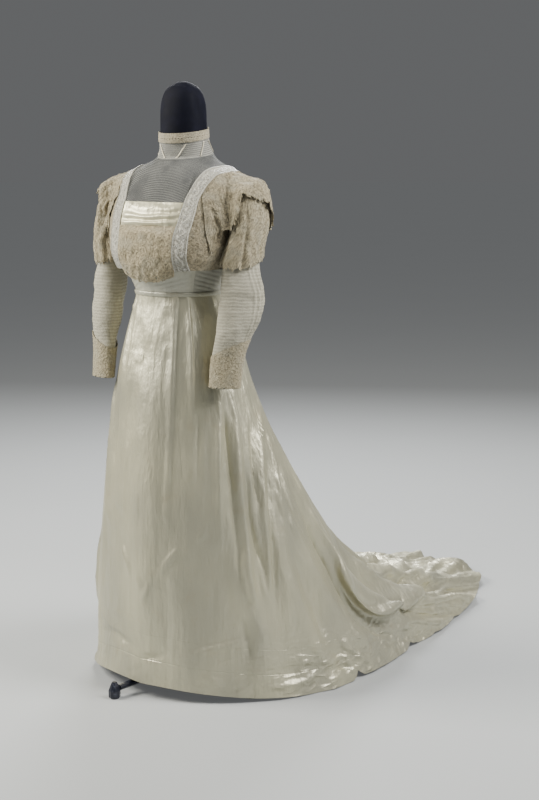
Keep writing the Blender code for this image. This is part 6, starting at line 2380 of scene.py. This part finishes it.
@dataclass
class Studio:
    """The pale floor, the soft lights and the camera, set by the photograph's viewing angle.

    Attributes:
        distance: Camera to the stand's pole, along the floor.
        height: Camera above the floor.
        azimuth: Direction to the camera, from the centre front towards the gown's left.
        aside: The camera points this far to the right of the pole.
        down: And this far below level.
        lens: Its focal length in millimetres, on a sensor 36 mm wide.
        floor_radius: Radius of the floor.
        target: Height of the point that the lights face.
        lights: Name, azimuth, elevation, distance, size, watts and colour of each.
    """

    distance: float = 4.2
    height: float = 1.40
    azimuth: float = 35.0
    aside: float = 3.01
    down: float = 9.18
    lens: float = 76.05
    floor_radius: float = 40.0
    target: float = 0.95
    lights: tuple[tuple[str, float, float, float, float, float, Colour], ...] = (
        ("key", -54.0, 31.0, 2.7, 1.5, 208.0, (1.0, 0.965, 0.87)),
        ("side", 101.0, 40.0, 3.2, 1.7, 215.0, (1.0, 0.985, 0.95)),
        ("back", 207.0, 31.0, 3.8, 1.3, 210.0, (0.97, 0.985, 1.0)))

    def floor(self) -> None:
        """A plain disc, wide enough to reach the horizon."""
        turn = np.arange(96) * 2 * math.pi / 96
        circle = xyz(np.cos(turn), np.sin(turn), 0 * turn)
        levels = ((1.0, -0.05), (1.0, 0.0), (0.25, 0.0), (0.05, 0.0))
        rings = [circle * [self.floor_radius * r, self.floor_radius * r, 0] + [0, 0, z] for r, z in levels]
        piece = lofted("floor", np.stack(rings))
        piece.data.materials.append(PaleFloor().material("pale_floor"))

    def light(self, name: str, azimuth: float, elevation: float, distance: float, size: float, watts: float,
              colour: Colour) -> None:
        """A square soft light that points at the middle of the gown.

        Args:
            name: Its name.
            azimuth: Direction from the gown, in degrees as for the camera.
            elevation: Degrees above level.
            distance: Metres from the gown's middle.
            size: Side of the square.
            watts: Watts.
            colour: Its colour.
        """
        lamp = bpy.data.lights.new(name, "AREA")
        lamp.shape, lamp.size, lamp.energy, lamp.color = "SQUARE", size, watts, colour
        holder = bpy.data.objects.new(name, lamp)
        a, e = math.radians(azimuth), math.radians(elevation)
        back = Vector((math.sin(a) * math.cos(e), -math.cos(a) * math.cos(e), math.sin(e)))
        target = Vector(OFFSET) + Vector((0, 0, self.target))
        holder.location = target + back * distance
        holder.rotation_mode = "QUATERNION"
        holder.rotation_quaternion = (-back).to_track_quat("-Z", "Y")
        bpy.context.scene.collection.objects.link(holder)

    def world(self) -> None:
        """Even pale light from all round."""
        world = bpy.data.worlds.new("studio")
        world.use_nodes = True
        background = world.node_tree.nodes["Background"]
        background.inputs["Color"].default_value = (*WORLD_TONE, 1.0)
        background.inputs["Strength"].default_value = WORLD_LIGHT
        bpy.context.scene.world = world

    def camera(self) -> None:
        """The camera at the photograph's angle."""
        data = bpy.data.cameras.new("camera")
        data.sensor_width, data.lens, data.clip_end = 36.0, self.lens, 200.0
        holder = bpy.data.objects.new("camera", data)
        a = math.radians(self.azimuth)
        holder.location = Vector(OFFSET) + Vector((self.distance * math.sin(a), -self.distance * math.cos(a),
                                                   self.height))
        heading = a - math.radians(self.aside)
        pitch = math.radians(self.down)
        look = Vector((-math.sin(heading) * math.cos(pitch), math.cos(heading) * math.cos(pitch),
                       -math.sin(pitch)))
        holder.rotation_mode = "QUATERNION"
        holder.rotation_quaternion = look.to_track_quat("-Z", "Y")
        bpy.context.scene.collection.objects.link(holder)
        bpy.context.scene.camera = holder

    def build(self) -> None:
        """Sets up the studio."""
        self.floor()
        self.world()
        for lamp in self.lights:
            self.light(*lamp)
        self.camera()


def main() -> None:
    """Builds the gown, its form and the studio."""
    for assembly in (Studio(), DressForm(), Collar(), Yoke(), Bodice(), Sleeves(), Skirt()):
        log.info("building %s", type(assembly).__name__)
        assembly.build()


if __name__ == "__main__":
    logging.basicConfig(level=logging.INFO, format="%(name)s: %(message)s")
    main()
